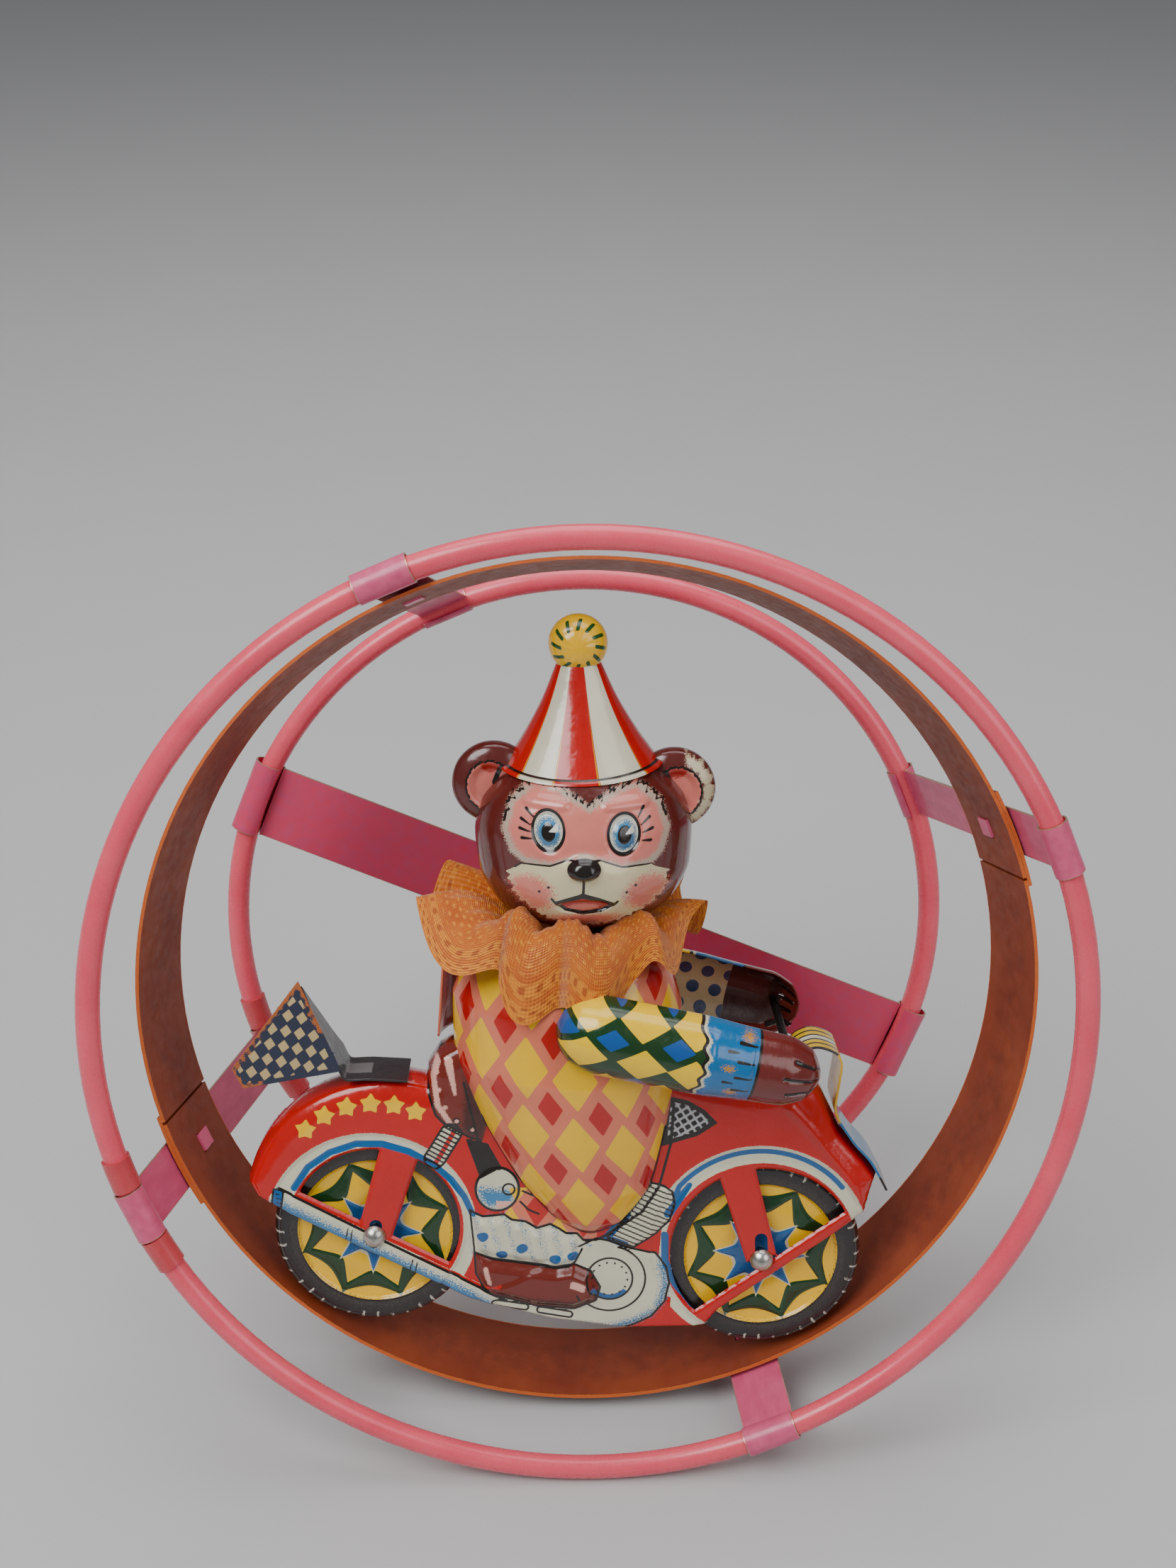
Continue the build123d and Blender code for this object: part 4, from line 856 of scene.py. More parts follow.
jacket_inks = [("yellow", YELLOW, 0), ("red", "c00a04", 0), ("black", BLACK, 0)]
jacket_print = printed_tin("jacket_print", "e57a5c", jacket_inks, gloss=0.17)
jacket_half("jacket_near_side", 1, "near_body_shell")
jacket_half("jacket_far_side", -1, "far_body_shell")

# ---------------------------------------------------------------- back cover
# Behind the jacket a curved piece of the same printed tin stands out from the far half,
# cut off square below. Its red middle on the salmon ground is painted shade, and the short
# black lug below it is a dark sheet put there as painted shadow.


def cover_sheet(name):
    """A strip of an oval tube: constant in height, from just past the middle plane round to the back."""
    up, turn = np.meshgrid(
        np.linspace(-9.9, 7.6, 30), np.linspace(np.radians(183), np.radians(246), 60), indexing="ij"
    )
    cover = Stamping(name)
    reach_u, reach_out = HALF_WIDE + 2.3, HALF_DEEP + 2.0
    points = np.stack([-3.8 + reach_u * np.cos(turn), up, reach_out * np.sin(turn)], -1)
    # the red diamond in the middle of the cover is painted shade on its salmon ground
    shape = (1 - np.abs(turn - 3.42) / 0.2 - np.abs(up + 2.4) / 9.0) * 2.0
    cover.grid(points, {"red": shape}, flip=True)
    lug_up, lug_turn = np.meshgrid(
        np.linspace(-12.9, -9.4, 8), np.linspace(np.radians(206), np.radians(226), 20), indexing="ij"
    )
    # the lug is all black: a dark sheet standing in for the shadow below the cover
    shade = np.full(lug_up.shape, 1.0)
    points = np.stack(
        [-3.8 + (reach_u - 1.2) * np.cos(lug_turn), lug_up, (reach_out - 1.2) * np.sin(lug_turn)], -1
    )
    cover.grid(points, {"black": shade}, flip=True)
    return cover.make(jacket_print, "rider", 0.4, "back_cover")


cover_sheet("jacket_back_cover")

# ---------------------------------------------------------------- arms
# Each arm is half a tube closed at its ends, tabbed to the jacket at the shoulder and held
# by the handlebar at the paw. The sleeve has green, yellow and blue diamonds and a cuff.

SHOULDER, PAW, ARM_PLANE = np.array([-0.8, -0.1]), np.array([41.0, -5.9]), 15.2
ARM_ALONG = [-5.2, -5.0, -4.2, -2.0, 3.0, 20.0, 28.0, 36.0, 40.0, 42.2, 42.4]
ARM_SHARE = [0.0, 0.15, 0.48, 0.80, 1.0, 1.0, 0.93, 0.88, 0.66, 0.2, 0.0]
ARM_HALF, ARM_BULGE = 7.3, 7.0


def arm_half(name, side, node):
    """Half an oval at each distance along the arm, with shallow folds pressed between the fingers."""
    run = np.concatenate(
        [np.linspace(-5.2, -4.2, 10), np.linspace(-4.0, 39.8, 150), np.linspace(40, 42.4, 14)]
    )
    along, turn = np.meshgrid(run, np.linspace(0, np.pi, 100), indexing="ij")
    share = through(ARM_ALONG, ARM_SHARE, along) * 0.6 + np.interp(along, ARM_ALONG, ARM_SHARE) * 0.4
    share = np.clip(share, 0, 1.0)
    across, bulge = share * ARM_HALF * np.cos(turn), share * ARM_BULGE * np.sin(turn)
    gaps = [((35.0 + abs(k) * 0.5, k), (41.5, k * 0.6)) for k in (-5.2, -2.4, 0.6, 3.6)]
    groove = join(*[bar(along, across, *ends, 0.35, 0.2) for ends in gaps])
    bulge = bulge - 0.35 * ease(groove / 0.3 + 0.6)
    bulge = bulge + 0.35 * ease((along - 21.6) / 0.8) * ease((29.6 - along) / 0.8) * np.sin(turn)
    lean = (PAW - SHOULDER) / np.linalg.norm(PAW - SHOULDER)
    u = SHOULDER[0] + lean[0] * along - lean[1] * across
    v = SHOULDER[1] + lean[1] * along + lean[0] * across
    out = np.where(np.sin(turn) > 0.02, ARM_PLANE + bulge, ARM_PLANE)

    wave = along - 20.9 + 0.35 * np.sin(across * 2.3) + 0.03 * across**2
    yellows = [
        (-0.2, 5.3), (9.5, 5.4), (18.8, 5.7), (-0.2, -1.6), (10.3, -1.7), (19.3, -1.9), (4.8, -8.0),
        (15.0, -8.2)
    ]
    blues = [(4.4, 1.8), (16.0, 2.3), (5.0, 8.6), (14.2, 8.6), (-4.4, 1.9), (10.0, -6.5)]

    def rhombi(spots, wide, high):
        return join(
            *[(1 - np.abs(along - a) / wide - np.abs(across - b) / high) * high * 0.8 for a, b in spots]
        )

    yellow = both(rhombi(yellows, 4.5, 3.1), -wave)
    blue = both(rhombi(blues, 3.0, 1.9), -wave)
    cuff = both(wave - 0.9, 30.2 - along)
    white = both(wave, 31.0 - along)
    paw = along - 30.2
    marks = [((26.5, k), (29.6, k * 0.95)) for k in (-5.6, -3.0, -0.4, 2.4, 5.2)]
    marks += [((24.6, k), (26.4, k)) for k in (-1.6, 3.8)]
    black = join(
        0.32 - np.abs(wave), 0.25 - np.abs(paw), *[bar(along, across, a, b, 0.3, 0.12) for a, b in marks]
    )
    black = join(black, both(groove, paw))
    gold = join(*[oval(along, across, at, 1.1, 0.6) for at in ((25.0, 1.0), (26.4, -3.6), (28.0, 6.0))])
    inks = {"yellow": yellow, "blue": blue, "white": white, "cuff": cuff, "paw": paw, "black": black}
    inks["gold"] = both(gold, cuff) - 0.1
    arm = Stamping(name)
    arm.grid(np.stack([u, v, side * out], -1), inks, flip=side < 0)
    return arm.make(arm_print if side > 0 else far_arm_print, "rider", 0.35, node)


arm_inks = [
    ("yellow", "ffd000", 0), ("blue", "0a55a0", 0), ("white", "d8d3b4", 0), ("cuff", "0f6ca8", 0.25)
]
arm_inks += [("paw", "6c2420", 0), ("gold", "c08a3c", 0.6), ("black", BLACK, 0)]
arm_print = printed_tin("arm_print", "063c16", arm_inks, gloss=0.17)
far_arm_print = printed_tin("far_arm_print", "063c16", arm_inks, gloss=0.17)
arm_half("near_sleeve", 1, "near_arm")
arm_half("far_sleeve", -1, "far_arm")


def far_lining():
    """The print seen inside the far arm: half an oval at each distance along, a little inside the
    sleeve's own, cream with blue dots and then brown."""
    along, across = np.meshgrid(np.arange(-4.0, 41.0, 0.3), np.arange(-9.0, 9.0, 0.3))
    share = np.interp(along, ARM_ALONG, ARM_SHARE)
    inside = (share * (ARM_HALF - 0.5) - np.abs(across)) * 0.9
    lean = (PAW - SHOULDER) / np.linalg.norm(PAW - SHOULDER)
    lining = Stamping("far_sleeve_lining")
    row = np.round((across + 1.0) / 3.6)
    shift = (row % 2) * 2.2
    a = (along + shift) / 4.4
    dots = 1.25 - np.hypot((a - np.round(a)) * 4.4, across + 1.0 - row * 3.6)
    paw = along - 28.5
    crown = np.sqrt(np.clip(1 - (across / (share * ARM_HALF + 0.01)) ** 2, 0, 1))
    depth = ARM_PLANE + 0.5 + (ARM_BULGE - 1.6) * 0.75 * crown
    inks = {"dots": both(dots, -paw), "brown": paw}
    lining.blank(along, across, inside, depth, inks, -1, skirt=np.zeros(inside.shape, bool))

    def laid(points):
        u = SHOULDER[0] + lean[0] * points[:, 0] - lean[1] * points[:, 1]
        v = SHOULDER[1] + lean[1] * points[:, 0] + lean[0] * points[:, 1]
        return in_rider(np.stack([u, v, points[:, 2]], -1))

    lining.faces = [face[::-1] for face in lining.faces]
    return lining.make(lining_print, "rider", 0, None, laid)


lining_print = printed_tin(
    "lining_print", "b9a57c", [("dots", "27395f", 0), ("brown", "3a1a16", 0)], gloss=0.3
)
far_lining()

# ---------------------------------------------------------------- head
# The head is a front and a back half, pressed with the neck, ears, hat and pompom in one
# piece each and held together by their edges. The face is printed, with the hat's stripes.

HEAD_AT, HEAD_TURN = (-3.0, 29.0), np.radians(6.0)
FACE_UP = [-14.3, -13.9, -12.4, -8.5, -2.5, 4.0, 9.5, 13.6, 15.6, 15.9]
FACE_SHARE = [0.0, 0.34, 0.58, 0.83, 0.975, 1.0, 0.93, 0.76, 0.6, 0.0]
FACE_R, FACE_DEEP = 19.3, 0.8
HAT_FOOT, HAT_HIGH, HAT_R = 14.0, 19.85, 13.9
HAT_UP, HAT_SHARE = [0.0, 0.32, 0.64, 1.0], [1.0, 0.72, 0.48, 0.27]


def on_head(x, y, out):
    """From the head's own level and upright to the rider's: a small turn about the head's middle."""
    c, s = np.cos(HEAD_TURN), np.sin(HEAD_TURN)
    return np.stack([HEAD_AT[0] + x * c - y * s, HEAD_AT[1] + x * s + y * c, out], -1)


def face_depth(x, y):
    """How far features stand out of the face: muzzle, nose, cheeks, brows and eye sockets."""
    muzzle = 1.5 * ease(oval(x, y, (0.0, -3.6), 13.0, 8.0) / 6.0)
    nose = 1.5 * ease(oval(x, y, (-0.2, 0.9), 3.6, 2.7) / 2.0)
    eyes = join(oval(x, y, (-6.1, 7.0), 3.4, 4.1), oval(x, y, (6.8, 6.1), 3.4, 4.1))
    sockets = -0.9 * ease(eyes / 1.4) + 0.9 * ease((eyes - 0.9) / 1.8)
    brow = 0.5 * ease(
        join(bar(x, y, (-9.6, 12.2), (-3.4, 11.6), 1.4), bar(x, y, (4.2, 11.2), (10.6, 11.2), 1.4)) / 1.2
    )
    mouth = -0.8 * ease((oval(x, y, (-0.4, -6.3), 5.2, 1.5)) / 0.8)
    return muzzle + nose + sockets + brow + mouth


def face_art(x, y):
    """The inks of the face on its own level and upright."""
    mask = [
        (-8.5, 15.2), (-3.8, 14.2), (1.0, 11.4), (5.2, 13.6), (9.5, 14.4), (13.4, 11.0), (14.9, 6.0),
        (13.6, 2.2)
    ]
    mask += [
        (11.5, 0.4), (6.0, 0.2), (0.0, 2.6), (-5.6, 0.9), (-10.4, 1.4), (-12.8, 3.2), (-14.1, 6.9),
        (-12.6, 11.8)
    ]
    muzzle = [
        (-13.6, -0.8), (-11.0, 1.2), (-6.0, 1.3), (-2.9, 2.5), (2.6, 2.3), (6.4, 0.7), (11.4, 0.3),
        (14.4, -2.1)
    ]
    muzzle += [(14.0, -5.2), (11.0, -8.0), (5.0, -10.6), (-1.0, -11.2), (-7.0, -9.4), (-12.1, -5.1)]
    turn = np.arctan2(y - 4.0, x)
    fur = 0.35 * np.sin(turn * 46) + 0.3 * np.sin(turn * 83 + 1.0)
    mask_in, muzzle_in = outline(x, y, mask), outline(x, y, muzzle)
    jagged = mask_in + fur * ease((y - 8.0) / 4.0)
    sides = muzzle_in + fur * 0.8 * ease((1.0 - y) / 3.0)
    grey = both(1.1 - mask_in, mask_in + 0.2, 14.0 - y) - 0.1
    eyes = join(oval(x, y, (-6.1, 7.2), 2.7, 3.5), oval(x, y, (6.8, 6.2), 2.7, 3.5))
    iris = join(oval(x, y, (-6.1, 6.9), 1.95, 2.55), oval(x, y, (6.9, 5.9), 1.95, 2.55))
    pupil = join(oval(x, y, (-6.1, 7.0), 1.2, 1.6), oval(x, y, (6.9, 6.1), 1.2, 1.6))
    cut = join(
        outline(x, y, [(-6.1, 7.1), (-4.6, 8.6), (-4.3, 7.1)]),
        outline(x, y, [(6.9, 6.2), (8.4, 7.7), (8.7, 6.2)])
    )
    lashes = [((-9.8, 10.7), (-8.3, 9.1)), ((-10.7, 9.0), (-9.0, 8.0)), ((-11.0, 7.4), (-9.1, 6.9))]
    lashes += [((-10.7, 5.8), (-8.9, 5.8)), ((10.3, 10.4), (9.3, 8.7)), ((11.3, 8.5), (9.8, 7.4))]
    lashes += [((11.8, 6.6), (10.0, 6.1)), ((11.4, 4.6), (9.8, 4.8))]
    nose = oval(x, y, (-0.2, 0.9), 2.9, 2.0)
    lips = [(-5.9, -4.6), (-5.3, -5.5), (-3.4, -4.9), (-0.5, -4.2), (2.4, -5.1), (4.7, -6.2), (5.4, -5.5)]
    mouth = outline(
        x, y,
        [
            (-5.3, -5.4), (-3.2, -4.6), (-0.5, -3.7), (2.2, -4.7), (4.8, -6.0), (2.6, -7.2), (-0.6, -7.6),
            (-3.6, -6.9)
        ]
    )
    tongue = oval(x, y, (-0.5, -6.6), 2.6, 0.9)
    black = join(
        nose, edge_of(eyes, 0.28), pupil, edge_of(mouth, 0.3), stroke(x, y, lips, 0.25),
        bar(x, y, (-0.3, -1.0), (-0.5, -4.0), 0.25)
    )
    black = join(
        black, *[bar(x, y, a, b, 0.3, 0.12) for a, b in lashes], both(edge_of(jagged, 0.22), y - 8.0)
    )
    black = join(
        black, both(
            edge_of(muzzle_in, 0.16), y - 0.2
        ), *[disc(x, y, at, 0.28) for at in ((-8.0, -3.4), (-6.4, -2.4), (7.0, -3.9), (8.6, -2.9))]
    )
    pink = join(
        oval(x, y, (-9.6, -4.2), 4.0, 3.4), oval(x, y, (10.6, -5.0), 4.0, 3.4),
        oval(x, y, (-0.4, -9.6), 6.0, 1.8)
    )
    ridge = outline(x, y, [(1.0, 11.4), (-2.2, 15.6), (4.0, 15.4)])
    inks = {
        "mask": jagged, "grey": grey, "muzzle": sides, "cheek": both(pink, sides), "white": eyes,
        "iris": iris
    }
    inks.update(
        black=both(black, -cut), red=mouth, tongue=both(tongue, mouth), cut=both(cut, iris), peak=ridge
    )
    return inks


def head_half(name, side, node):
    """One half: face, neck, hat and pompom as half ovals on rows of height, and two dished ears."""
    half = Stamping(name)
    rows = np.concatenate(
        [np.linspace(-14.3, -13.9, 4), np.linspace(-13.75, 15.5, 136), np.linspace(15.6, 15.9, 4)]
    )
    y, turn = np.meshgrid(rows, np.linspace(0, np.pi, 181), indexing="ij")
    reach = through(FACE_UP, FACE_SHARE, y) * FACE_R
    x, out = reach * np.cos(turn), reach * FACE_DEEP * np.sin(turn)
    inks = {}
    if side > 0:
        out = out + face_depth(x, y) * ease(np.sin(turn) / 0.35)
        inks = face_art(x, y)
    half.grid(on_head(x, y, side * out), inks, flip=side > 0)

    rows = np.linspace(-15.5, -9.0, 8)
    high, turn = np.meshgrid(rows, np.linspace(0, np.pi, 41), indexing="ij")
    x, out = 6.0 * np.cos(turn), 6.0 * np.sin(turn)
    half.grid(on_head(x, high, side * out), {}, flip=side > 0)

    rows = np.concatenate([np.linspace(0, 0.02, 3), np.linspace(0.03, 1.0, 50)])
    share, turn = np.meshgrid(rows, np.linspace(0, np.pi, 141), indexing="ij")
    wide = through(HAT_UP, HAT_SHARE, share) * HAT_R * ease(share / 0.012 + 0.3)
    brim = 0.7 * ease((0.05 - share) / 0.02) * ease(share / 0.01 + 0.5)
    reach = wide + brim
    droop = 1.5 * np.sin(turn) ** 2 * (side > 0) * (1 - share) ** 2
    droop = droop - 0.8 * (1 - np.sin(turn)) * (1 - share) ** 3
    x, out = reach * np.cos(turn), reach * FACE_DEEP * np.sin(turn)
    y = HAT_FOOT + 0.9 + share * (HAT_HIGH - 0.9) - droop * 0.6
    angle = np.degrees(turn)
    pace = np.radians(1.0) * wide
    creams = join(
        both((angle - 39.7), (77.5 - angle)) * pace, both((angle - 111.5), (140.3 - angle)) * pace
    )
    gold = join(
        (1.0 - np.abs(angle - 78.6)) * pace, (1.0 - np.abs(angle - 110.6)) * pace,
        (1.0 - np.abs(angle - 141.4)) * pace
    )
    gold = join(gold, (0.9 - np.abs(angle - 38.8)) * pace)
    line = both((share - 0.035) * 20, (0.055 - share) * 20)
    hat = {"cap": (share + 0.02) * 20, "cream": creams, "gold": gold - 0.1, "black": line}
    half.grid(on_head(x, y, side * out), hat, flip=side > 0)

    share, turn = np.meshgrid(np.linspace(0, 1, 28), np.linspace(0, 2 * np.pi, 81), indexing="ij")
    away = 5.2 * np.sin(share * np.pi / 2)
    x, y, out = away * np.cos(turn), 36.8 + away * np.sin(turn), 5.2 * np.cos(share * np.pi / 2) * 0.85
    out = out + 0.1 * np.sin(turn * 10 + share * 6) * ease(share * 2) * (1 - share)
    swirl = np.abs(((turn / (2 * np.pi) * 12 + 0.16 * away) % 1) - 0.5) * 2 * np.pi / 12 * away
    dash = both(0.34 - swirl, away - 2.9, 4.7 - away)
    half.grid(on_head(x, y, side * out), {"pompom": 0 * out + 1, "dash": dash}, flip=side > 0)

    for sign, ear in ((-1, (-15.6, 12.4)), (1, (16.2, 10.2))):
        share, turn = np.meshgrid(np.linspace(0, 1, 30), np.linspace(0, 2 * np.pi, 81), indexing="ij")
        away = 7.4 * np.sin(share * np.pi / 2)
        x, y = ear[0] + away * np.cos(turn), ear[1] + away * np.sin(turn)
        out = 3.1 * np.cos(share * np.pi / 2) ** 0.8
        inner = oval(x, y, (ear[0] + sign * 0.6, ear[1] - 0.2), 4.2, 4.6)
        out = out - 1.3 * ease(inner / 2.0) * (side > 0)
        fur = 0.3 * np.sin(turn * 26) + 0.25 * np.sin(turn * 15 + 2)
        curl = stroke(
            x, y,
            [
                (ear[0] - sign * 1.4, ear[1] + 3.2), (ear[0] - sign * 0.2, ear[1] + 0.4),
                (ear[0] - sign * 0.9, ear[1] - 2.6)
            ],
            0.45
        )
        patch = both(oval(x, y, (ear[0] + sign * 0.4, ear[1] + 3.6), 1.8, 1.4), inner)
        inks = {}
        if side > 0:
            inks = {
                "ear": inner + 0.3 * fur,
                "black": join(curl, both(edge_of(inner + 0.3 * fur, 0.22), sign * (ear[0] - x) + 6))
            }
            inks["patch"] = patch
        if side > 0 and sign > 0:
            inks["tuft"] = both(1.1 - np.abs(away - 6.0) + fur, x - ear[0] - 2.0) - 0.2
        half.grid(on_head(x, y, side * out), inks, flip=side > 0)
    return half.make(head_print, "rider", 0.35, node)


head_inks = [
    ("mask", "e07f72", 0), ("grey", "b9aa98", 0.5), ("muzzle", "dccfa6", 0), ("cheek", "dd7f6e", 1.1)
]
head_inks += [("peak", MAROON, 0), ("white", "dcd8c4", 0), ("iris", "3f86b4", 0.5), ("red", "b5201a", 0)]
head_inks += [
    ("tongue", "d86a58", 0.3), ("ear", "dc7a6c", 0), ("patch", "b5281c", 0.3), ("tuft", "cdbf9c", 0.4)
]
head_inks += [("cap", "c00c06", 0), ("cream", "dcd6bc", 0), ("gold", "e0a810", 0), ("pompom", "f8c000", 0)]
head_inks += [("dash", "0a5020", 0), ("black", BLACK, 0), ("cut", "e8e6da", 0)]
head_print = printed_tin("head_print", MAROON, head_inks, gloss=0.17)
head_half("head_front", 1, "head_front_shell")
head_half("head_back", -1, "head_back_shell")

# ---------------------------------------------------------------- ruff
# A satin ribbon gathered round the neck. It is one strip, 20 mm wide, pleated at its inner
# edge and opening into folds at the outer one. The pattern is woven, with braided edges.

RIBBON_WIDE, PLEATS = 20.0, 9


def ruff_sheet():
    """A ribbon on the distance across it and the turn round the neck. It leaves the neck low, rises to the
    chin, and its pleats are waves up and down that grow to the outer edge."""
    across, turn = np.meshgrid(np.linspace(0, 1, 44), np.linspace(0, 2 * np.pi, 901), indexing="ij")
    phase = turn * PLEATS + 0.55 * np.sin(3 * turn + 0.6) + 0.35 * np.sin(5 * turn + 2.0)
    front = np.maximum(np.sin(turn), 0)
    back = np.maximum(-np.sin(turn), 0)
    left, right = np.maximum(-np.cos(turn), 0) ** 2, np.maximum(np.cos(turn), 0) ** 2
    swing_out = 8.6 + across * (18.0 - 7.6 * front**1.5 - 4.0 * back + 2.5 * left - 3.5 * right)
    deep = 0.8 - 0.12 * back
    height = 13.6 + across * (9.4 - 21.5 * front**2.2 + 1.5 * back)
    height = height + 10.0 * np.sin(across * np.pi) * (0.15 + 0.85 * front)
    swing_out = swing_out + 3.5 * np.sin(across * np.pi) * front
    height = height - across * (8.0 * left + 6.0 * right)
    wave = np.sin(phase) + 0.25 * np.sin(2 * phase + 0.8)
    size = 0.9 + 3.2 * across**0.8
    height = height + size * wave * (1.0 - 0.35 * front)
    swing_out = swing_out + (0.3 + 1.5 * across) * np.cos(phase) * (0.5 + 0.5 * front)
    swing_out = swing_out - 0.6 * front * wave * across
    x = -3.8 + swing_out * np.cos(turn + 0.035 * np.cos(phase) * across * 2)
    out = swing_out * deep * np.sin(turn + 0.035 * np.cos(phase) * across * 2)
    gather = np.sin(turn * 46 + 1.3 * np.sin(4 * turn)) * 0.45 * ease(across / 0.2) * (1 - across)
    return np.stack([x, height + gather, out], -1), across, turn


points, across, turn = ruff_sheet()
cross_u = points[1:, :-1] - points[:-1, :-1]
cross_v = points[:-1, 1:] - points[:-1, :-1]
cloth_area = float(np.linalg.norm(np.cross(cross_u, cross_v), axis=2).sum()) * 1e-6
ribbon_long = cloth_area / (RIBBON_WIDE / 1000)
woven = turn / (2 * np.pi) * ribbon_long * 1000
width = across * RIBBON_WIDE
tile_a = (woven / 1.2 + np.round(width / 1.1) % 2 * 0.5) % 1 - 0.5
tile_b = (width / 1.1 + 0.5) % 1 - 0.5
spots = 0.3 - np.hypot(tile_a * 1.2, tile_b * 1.1)
spots = both(spots, 15.4 - width, width - 1.2)
braid = join(0.75 - np.abs(width - 17.0), 0.75 - np.abs(width - 19.2))
weave = both(braid, 0.3 - np.abs(((woven + 1.4 * np.abs(width - 17.0)) / 1.5) % 1 - 0.5) * 1.5)
ribbon = Stamping("ruff_ribbon")
ribbon.grid(
    points, {"spots": spots, "braid": braid, "weave": weave, "woven": woven, "width": width}, flip=False
)
satin = Finish("ruff_satin", rough=0.34, Sheen_Weight=0.25, Anisotropic=0.5)
here = satin.place(rider_axes, pivot)
thread = satin.maths("SINE", satin.maths("MULTIPLY", satin.field("woven"), 21.0))
pick = satin.maths("SINE", satin.maths("MULTIPLY", satin.field("width"), 17.0))
cloth = satin.mix(satin.step(satin.noise(here, 0.2, 3.0), 0.3, 0.7), tint("e07808"), tint("c85c04"))
cloth = satin.mix(satin.step(satin.field("spots"), -0.08, 0.08), cloth, tint("ee9420"))
cloth = satin.mix(satin.step(satin.field("braid"), -0.1, 0.1), cloth, tint("ea8a18"))
cloth = satin.mix(satin.step(satin.field("weave"), -0.1, 0.1), cloth, tint("b85806"))
threads = satin.bump(satin.maths("ADD", thread, pick), 0.00004)
threads = satin.bump(satin.field("spots"), 0.00008, threads)
sheen = satin.step(satin.noise(here, 1.0, 4.0, stretch=(1.0, 0.2, 1.0)), 0.3, 0.7, 0.26, 0.46)
ruff = ribbon.make(satin.finish(cloth, sheen, threads), "rider", 0, "neck_ruff")

# ---------------------------------------------------------------- windscreen, tail bracket and number plate
# Three small pieces of tin: the printed windscreen curled at its top, the black bracket
# behind the saddle, and the card plate printed with diamonds that is glued to it.


def bent_strip(name, path, low, high, print_for, material, wall, node, rows=40):
    """Tin bent along a path seen from the side and straight across. Its inks go by the distance along it."""
    path = np.array(path, float)
    length = np.concatenate([[0], np.cumsum(np.linalg.norm(np.diff(path, axis=0), axis=1))])
    at = np.linspace(0, length[-1], 160)
    u, v = through(length, path[:, 0], at), through(length, path[:, 1], at)
    along, out_share = np.meshgrid(at, np.linspace(0, 1, rows), indexing="ij")
    low_at = np.interp(at, length, low) if np.ndim(low) else np.full(at.shape, low)
    high_at = np.interp(at, length, high) if np.ndim(high) else np.full(at.shape, high)
    out = low_at[:, None] + (high_at - low_at)[:, None] * out_share
    points = np.stack(
        [np.broadcast_to(u[:, None], out.shape), np.broadcast_to(v[:, None], out.shape), out], -1
    )
    strip = Stamping(name)
    strip.grid(points, print_for(along, out, length[-1]), flip=False)
    return strip.make(material, "rider", wall, node)


def screen_art(along, out, whole):
    """Black stripes on yellow and white round the curl, and blue down to a black foot."""
    share = along / whole
    foot = both(share - 0.62, 0.93 - share) * whole
    stripes = both(0.28 - np.abs((out + 0.6) % 1.9 - 0.95), both(share - 0.02, 0.3 - share) * whole)
    white = both(1.2 - np.abs(out + 0.5), both(share - 0.0, 0.3 - share) * whole)
    inner = (0.33 - share) * whole
    return {
        "inner": inner, "white": white, "stripes": stripes, "blue": foot, "foot": (share - 0.93) * whole
    }


def bare_art(along, out, whole):
    """A lighter tab pressed out of the black tin near its top."""
    return {"tab": both(along - whole * 0.62, whole * 0.78 - along, 2.2 - np.abs(out))}


SCREEN = [(37.2, -11.4), (38.8, -6.8), (42.3, -5.0), (46.2, -6.2), (47.3, -9.0)]
SCREEN += [(47.0, -16.5), (50.6, -22.9), (54.9, -27.4), (58.4, -32.8)]
screen_inks = [
    ("inner", "e3b820", 0), ("white", "dcd6bc", 0), ("stripes", "2a2622", 0), ("blue", "1c6ea6", 0)
]
screen_inks += [("foot", BLACK, 0)]
screen_print = printed_tin("screen_print", "e0b010", screen_inks, gloss=0.2)
bent_strip(
    "windscreen_strip", SCREEN, -5.5, 4.2, screen_art, screen_print, 0.4,
    "windscreen"
)
BRACKET = [(-51.6, 0.6), (-48.4, -6.5), (-44.6, -14.2), (-42.6, -17.0), (-38.6, -16.6), (-31.8, -16.5)]
NEAR_SLANT = [5.0, 0.0, -5.0, -5.0, -5.0, -5.0]  # its upper end is cut on a slant
bracket_print = printed_tin("bracket_tin", "171618", [("tab", "6d6c6b", 0.1)], gloss=0.34)
bent_strip(
    "tail_bracket_strip", BRACKET, NEAR_SLANT, 5.0, bare_art, bracket_print, 0.4,
    "tail_bracket"
)


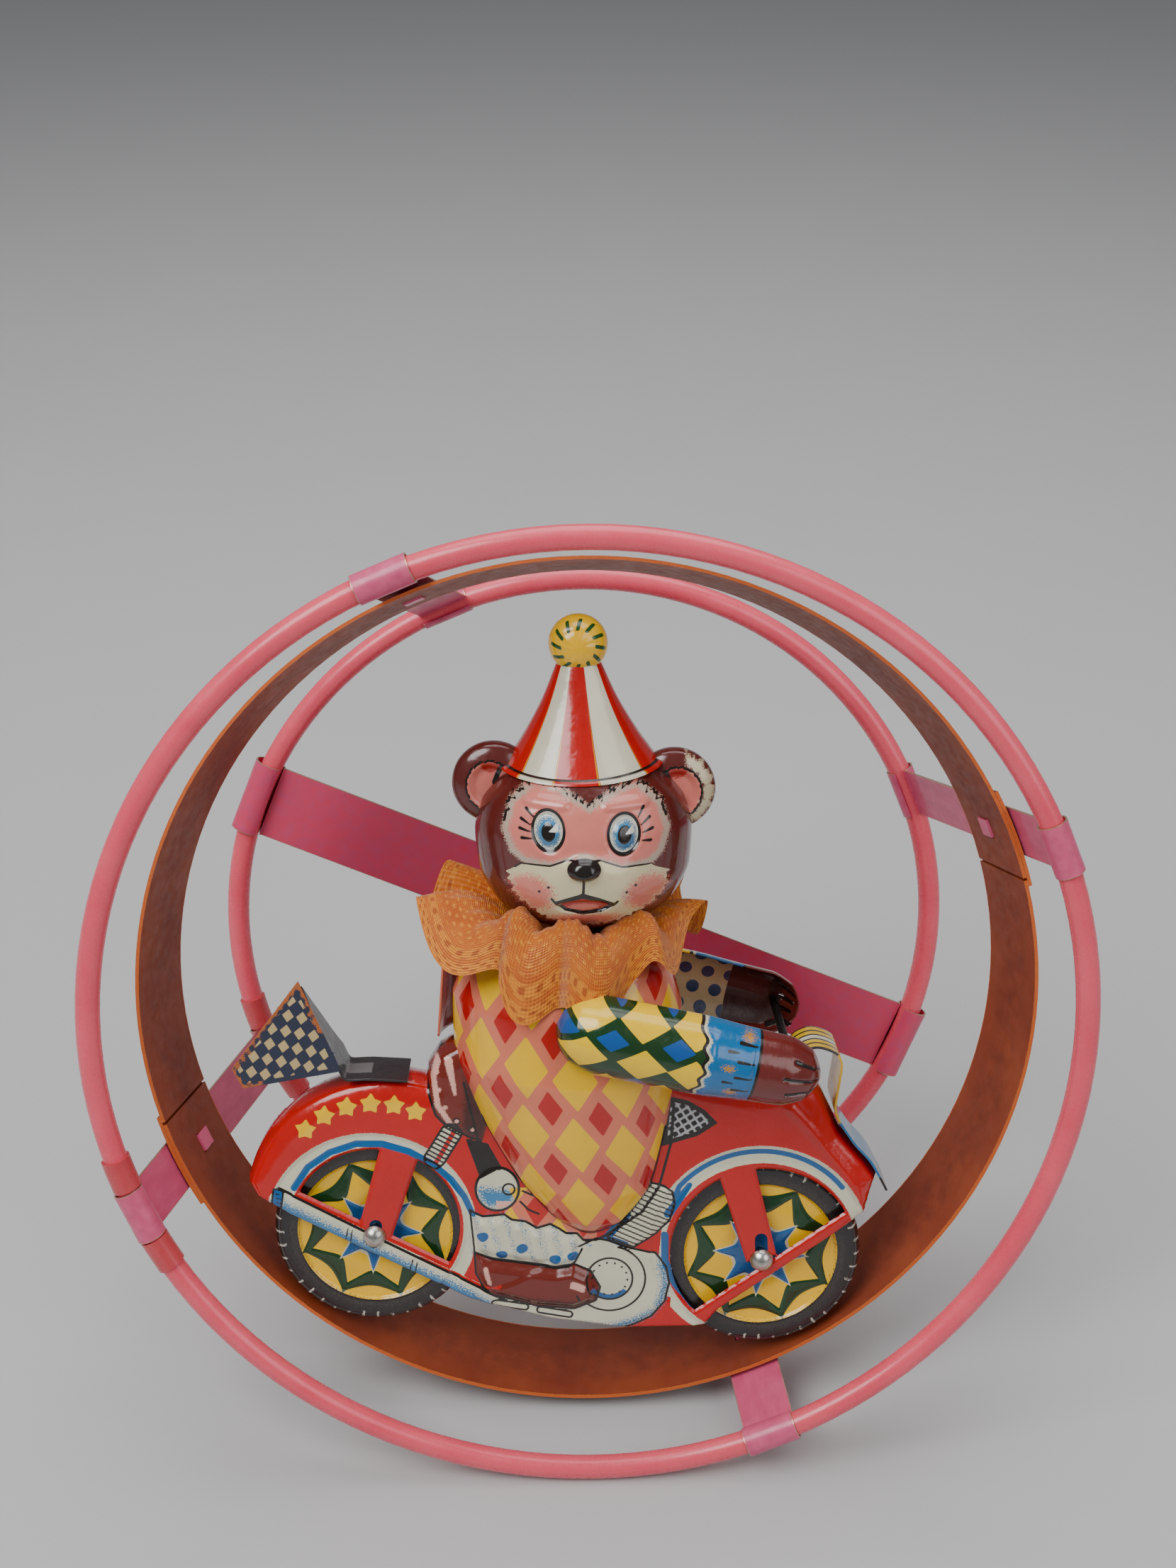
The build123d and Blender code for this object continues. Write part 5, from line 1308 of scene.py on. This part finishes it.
def plate_card():
    """A flat sheet trimmed to the card's outline; its diamonds repeat on two slanted steps."""
    u, v = np.meshgrid(np.arange(-65.0, -42.0, 0.12), np.arange(-21.5, 3.5, 0.12))
    inside = outline(u, v, [(-52.3, 1.6), (-63.6, -16.2), (-61.4, -19.9), (-43.9, -15.3), (-45.0, -12.9)])
    one = ((u + 54.1) * -3.0 - (v + 8.1) * -0.3) / (2.5 * -3.0 - 0.3 * 0.3)
    two = ((u + 54.1) * 0.3 + (v + 8.1) * 2.5) / (2.5 * -3.0 - 0.3 * 0.3)
    one, two = one - np.round(one), two - np.round(two)
    diamonds = both((0.42 - np.abs(one) - np.abs(two)) * 2.2, inside - 0.9)
    worn = both(0.55 - inside + 0.5 * np.sin(3.1 * u) * np.sin(2.3 * v), inside + 1)
    inks = {"diamonds": diamonds, "worn": both(worn, join(v + 8.0, -58.0 - u))}
    card = Stamping("number_plate_card")
    card.blank(u, v, inside, np.full(u.shape, 5.45), inks, 1, np.zeros(u.shape, bool))
    return card.make(card_print, "rider", 0.38, "tail_flag")


card_print = printed_tin(
    "card_print", "1b2740", [("diamonds", "c7ad78", 0), ("worn", "b0602a", 0.3)], gloss=0.5
)
plate_card()

# ---------------------------------------------------------------- stage
# The toy stands on a pale floor under three soft lamps, seen from above and in front.

floor_mesh = bpy.data.meshes.new("floor")
reach = 1.6
floor_mesh.from_pydata(
    [(-reach, -reach, 0), (reach, -reach, 0), (reach, reach, 0), (-reach, reach, 0)], [], [(0, 1, 2, 3)]
)
paper = Finish("floor_paper", rough=0.7)
floor_mesh.materials.append(
    paper.finish(tint("bcbcbc"), paper.step(paper.noise(paper.place(), 0.02, 3.0), 0.3, 0.7, 0.6, 0.75))
)
floor = bpy.data.objects.new("floor", floor_mesh)
bpy.context.scene.collection.objects.link(floor)

middle = (Vector(cad_box[0]) + Vector(cad_box[1])) / 2
lamps = [
    ("key", (-0.45, -0.35, 0.75), 0.6, 7.0), ("fill", (0.6, -0.5, 0.5), 0.7, 2.6),
    ("top", (0.05, 0.25, 0.8), 0.8, 4.6)
]
for name, place, size, power in lamps:
    lamp = bpy.data.lights.new(name, "AREA")
    lamp.shape, lamp.size, lamp.energy = "DISK", size, power
    lamp_at = bpy.data.objects.new(name, lamp)
    lamp_at.location = middle + Vector(place)
    lamp_at.rotation_euler = (-Vector(place)).to_track_quat("-Z", "Y").to_euler()
    bpy.context.scene.collection.objects.link(lamp_at)

world = bpy.data.worlds.new("room")
world.use_nodes = True
world.node_tree.nodes["Background"].inputs["Color"].default_value = tint("c9cbce")
world.node_tree.nodes["Background"].inputs["Strength"].default_value = 0.34
bpy.context.scene.world = world

lens = bpy.data.cameras.new("camera")
lens.lens, lens.sensor_width = 44.76, 36.0
camera = bpy.data.objects.new("camera", lens)
camera.location = (-0.00501, -0.29009, 0.30327)
camera.rotation_euler = (np.radians(90 - 32.128), 0, -np.radians(1.013))
bpy.context.scene.collection.objects.link(camera)
bpy.context.scene.camera = camera
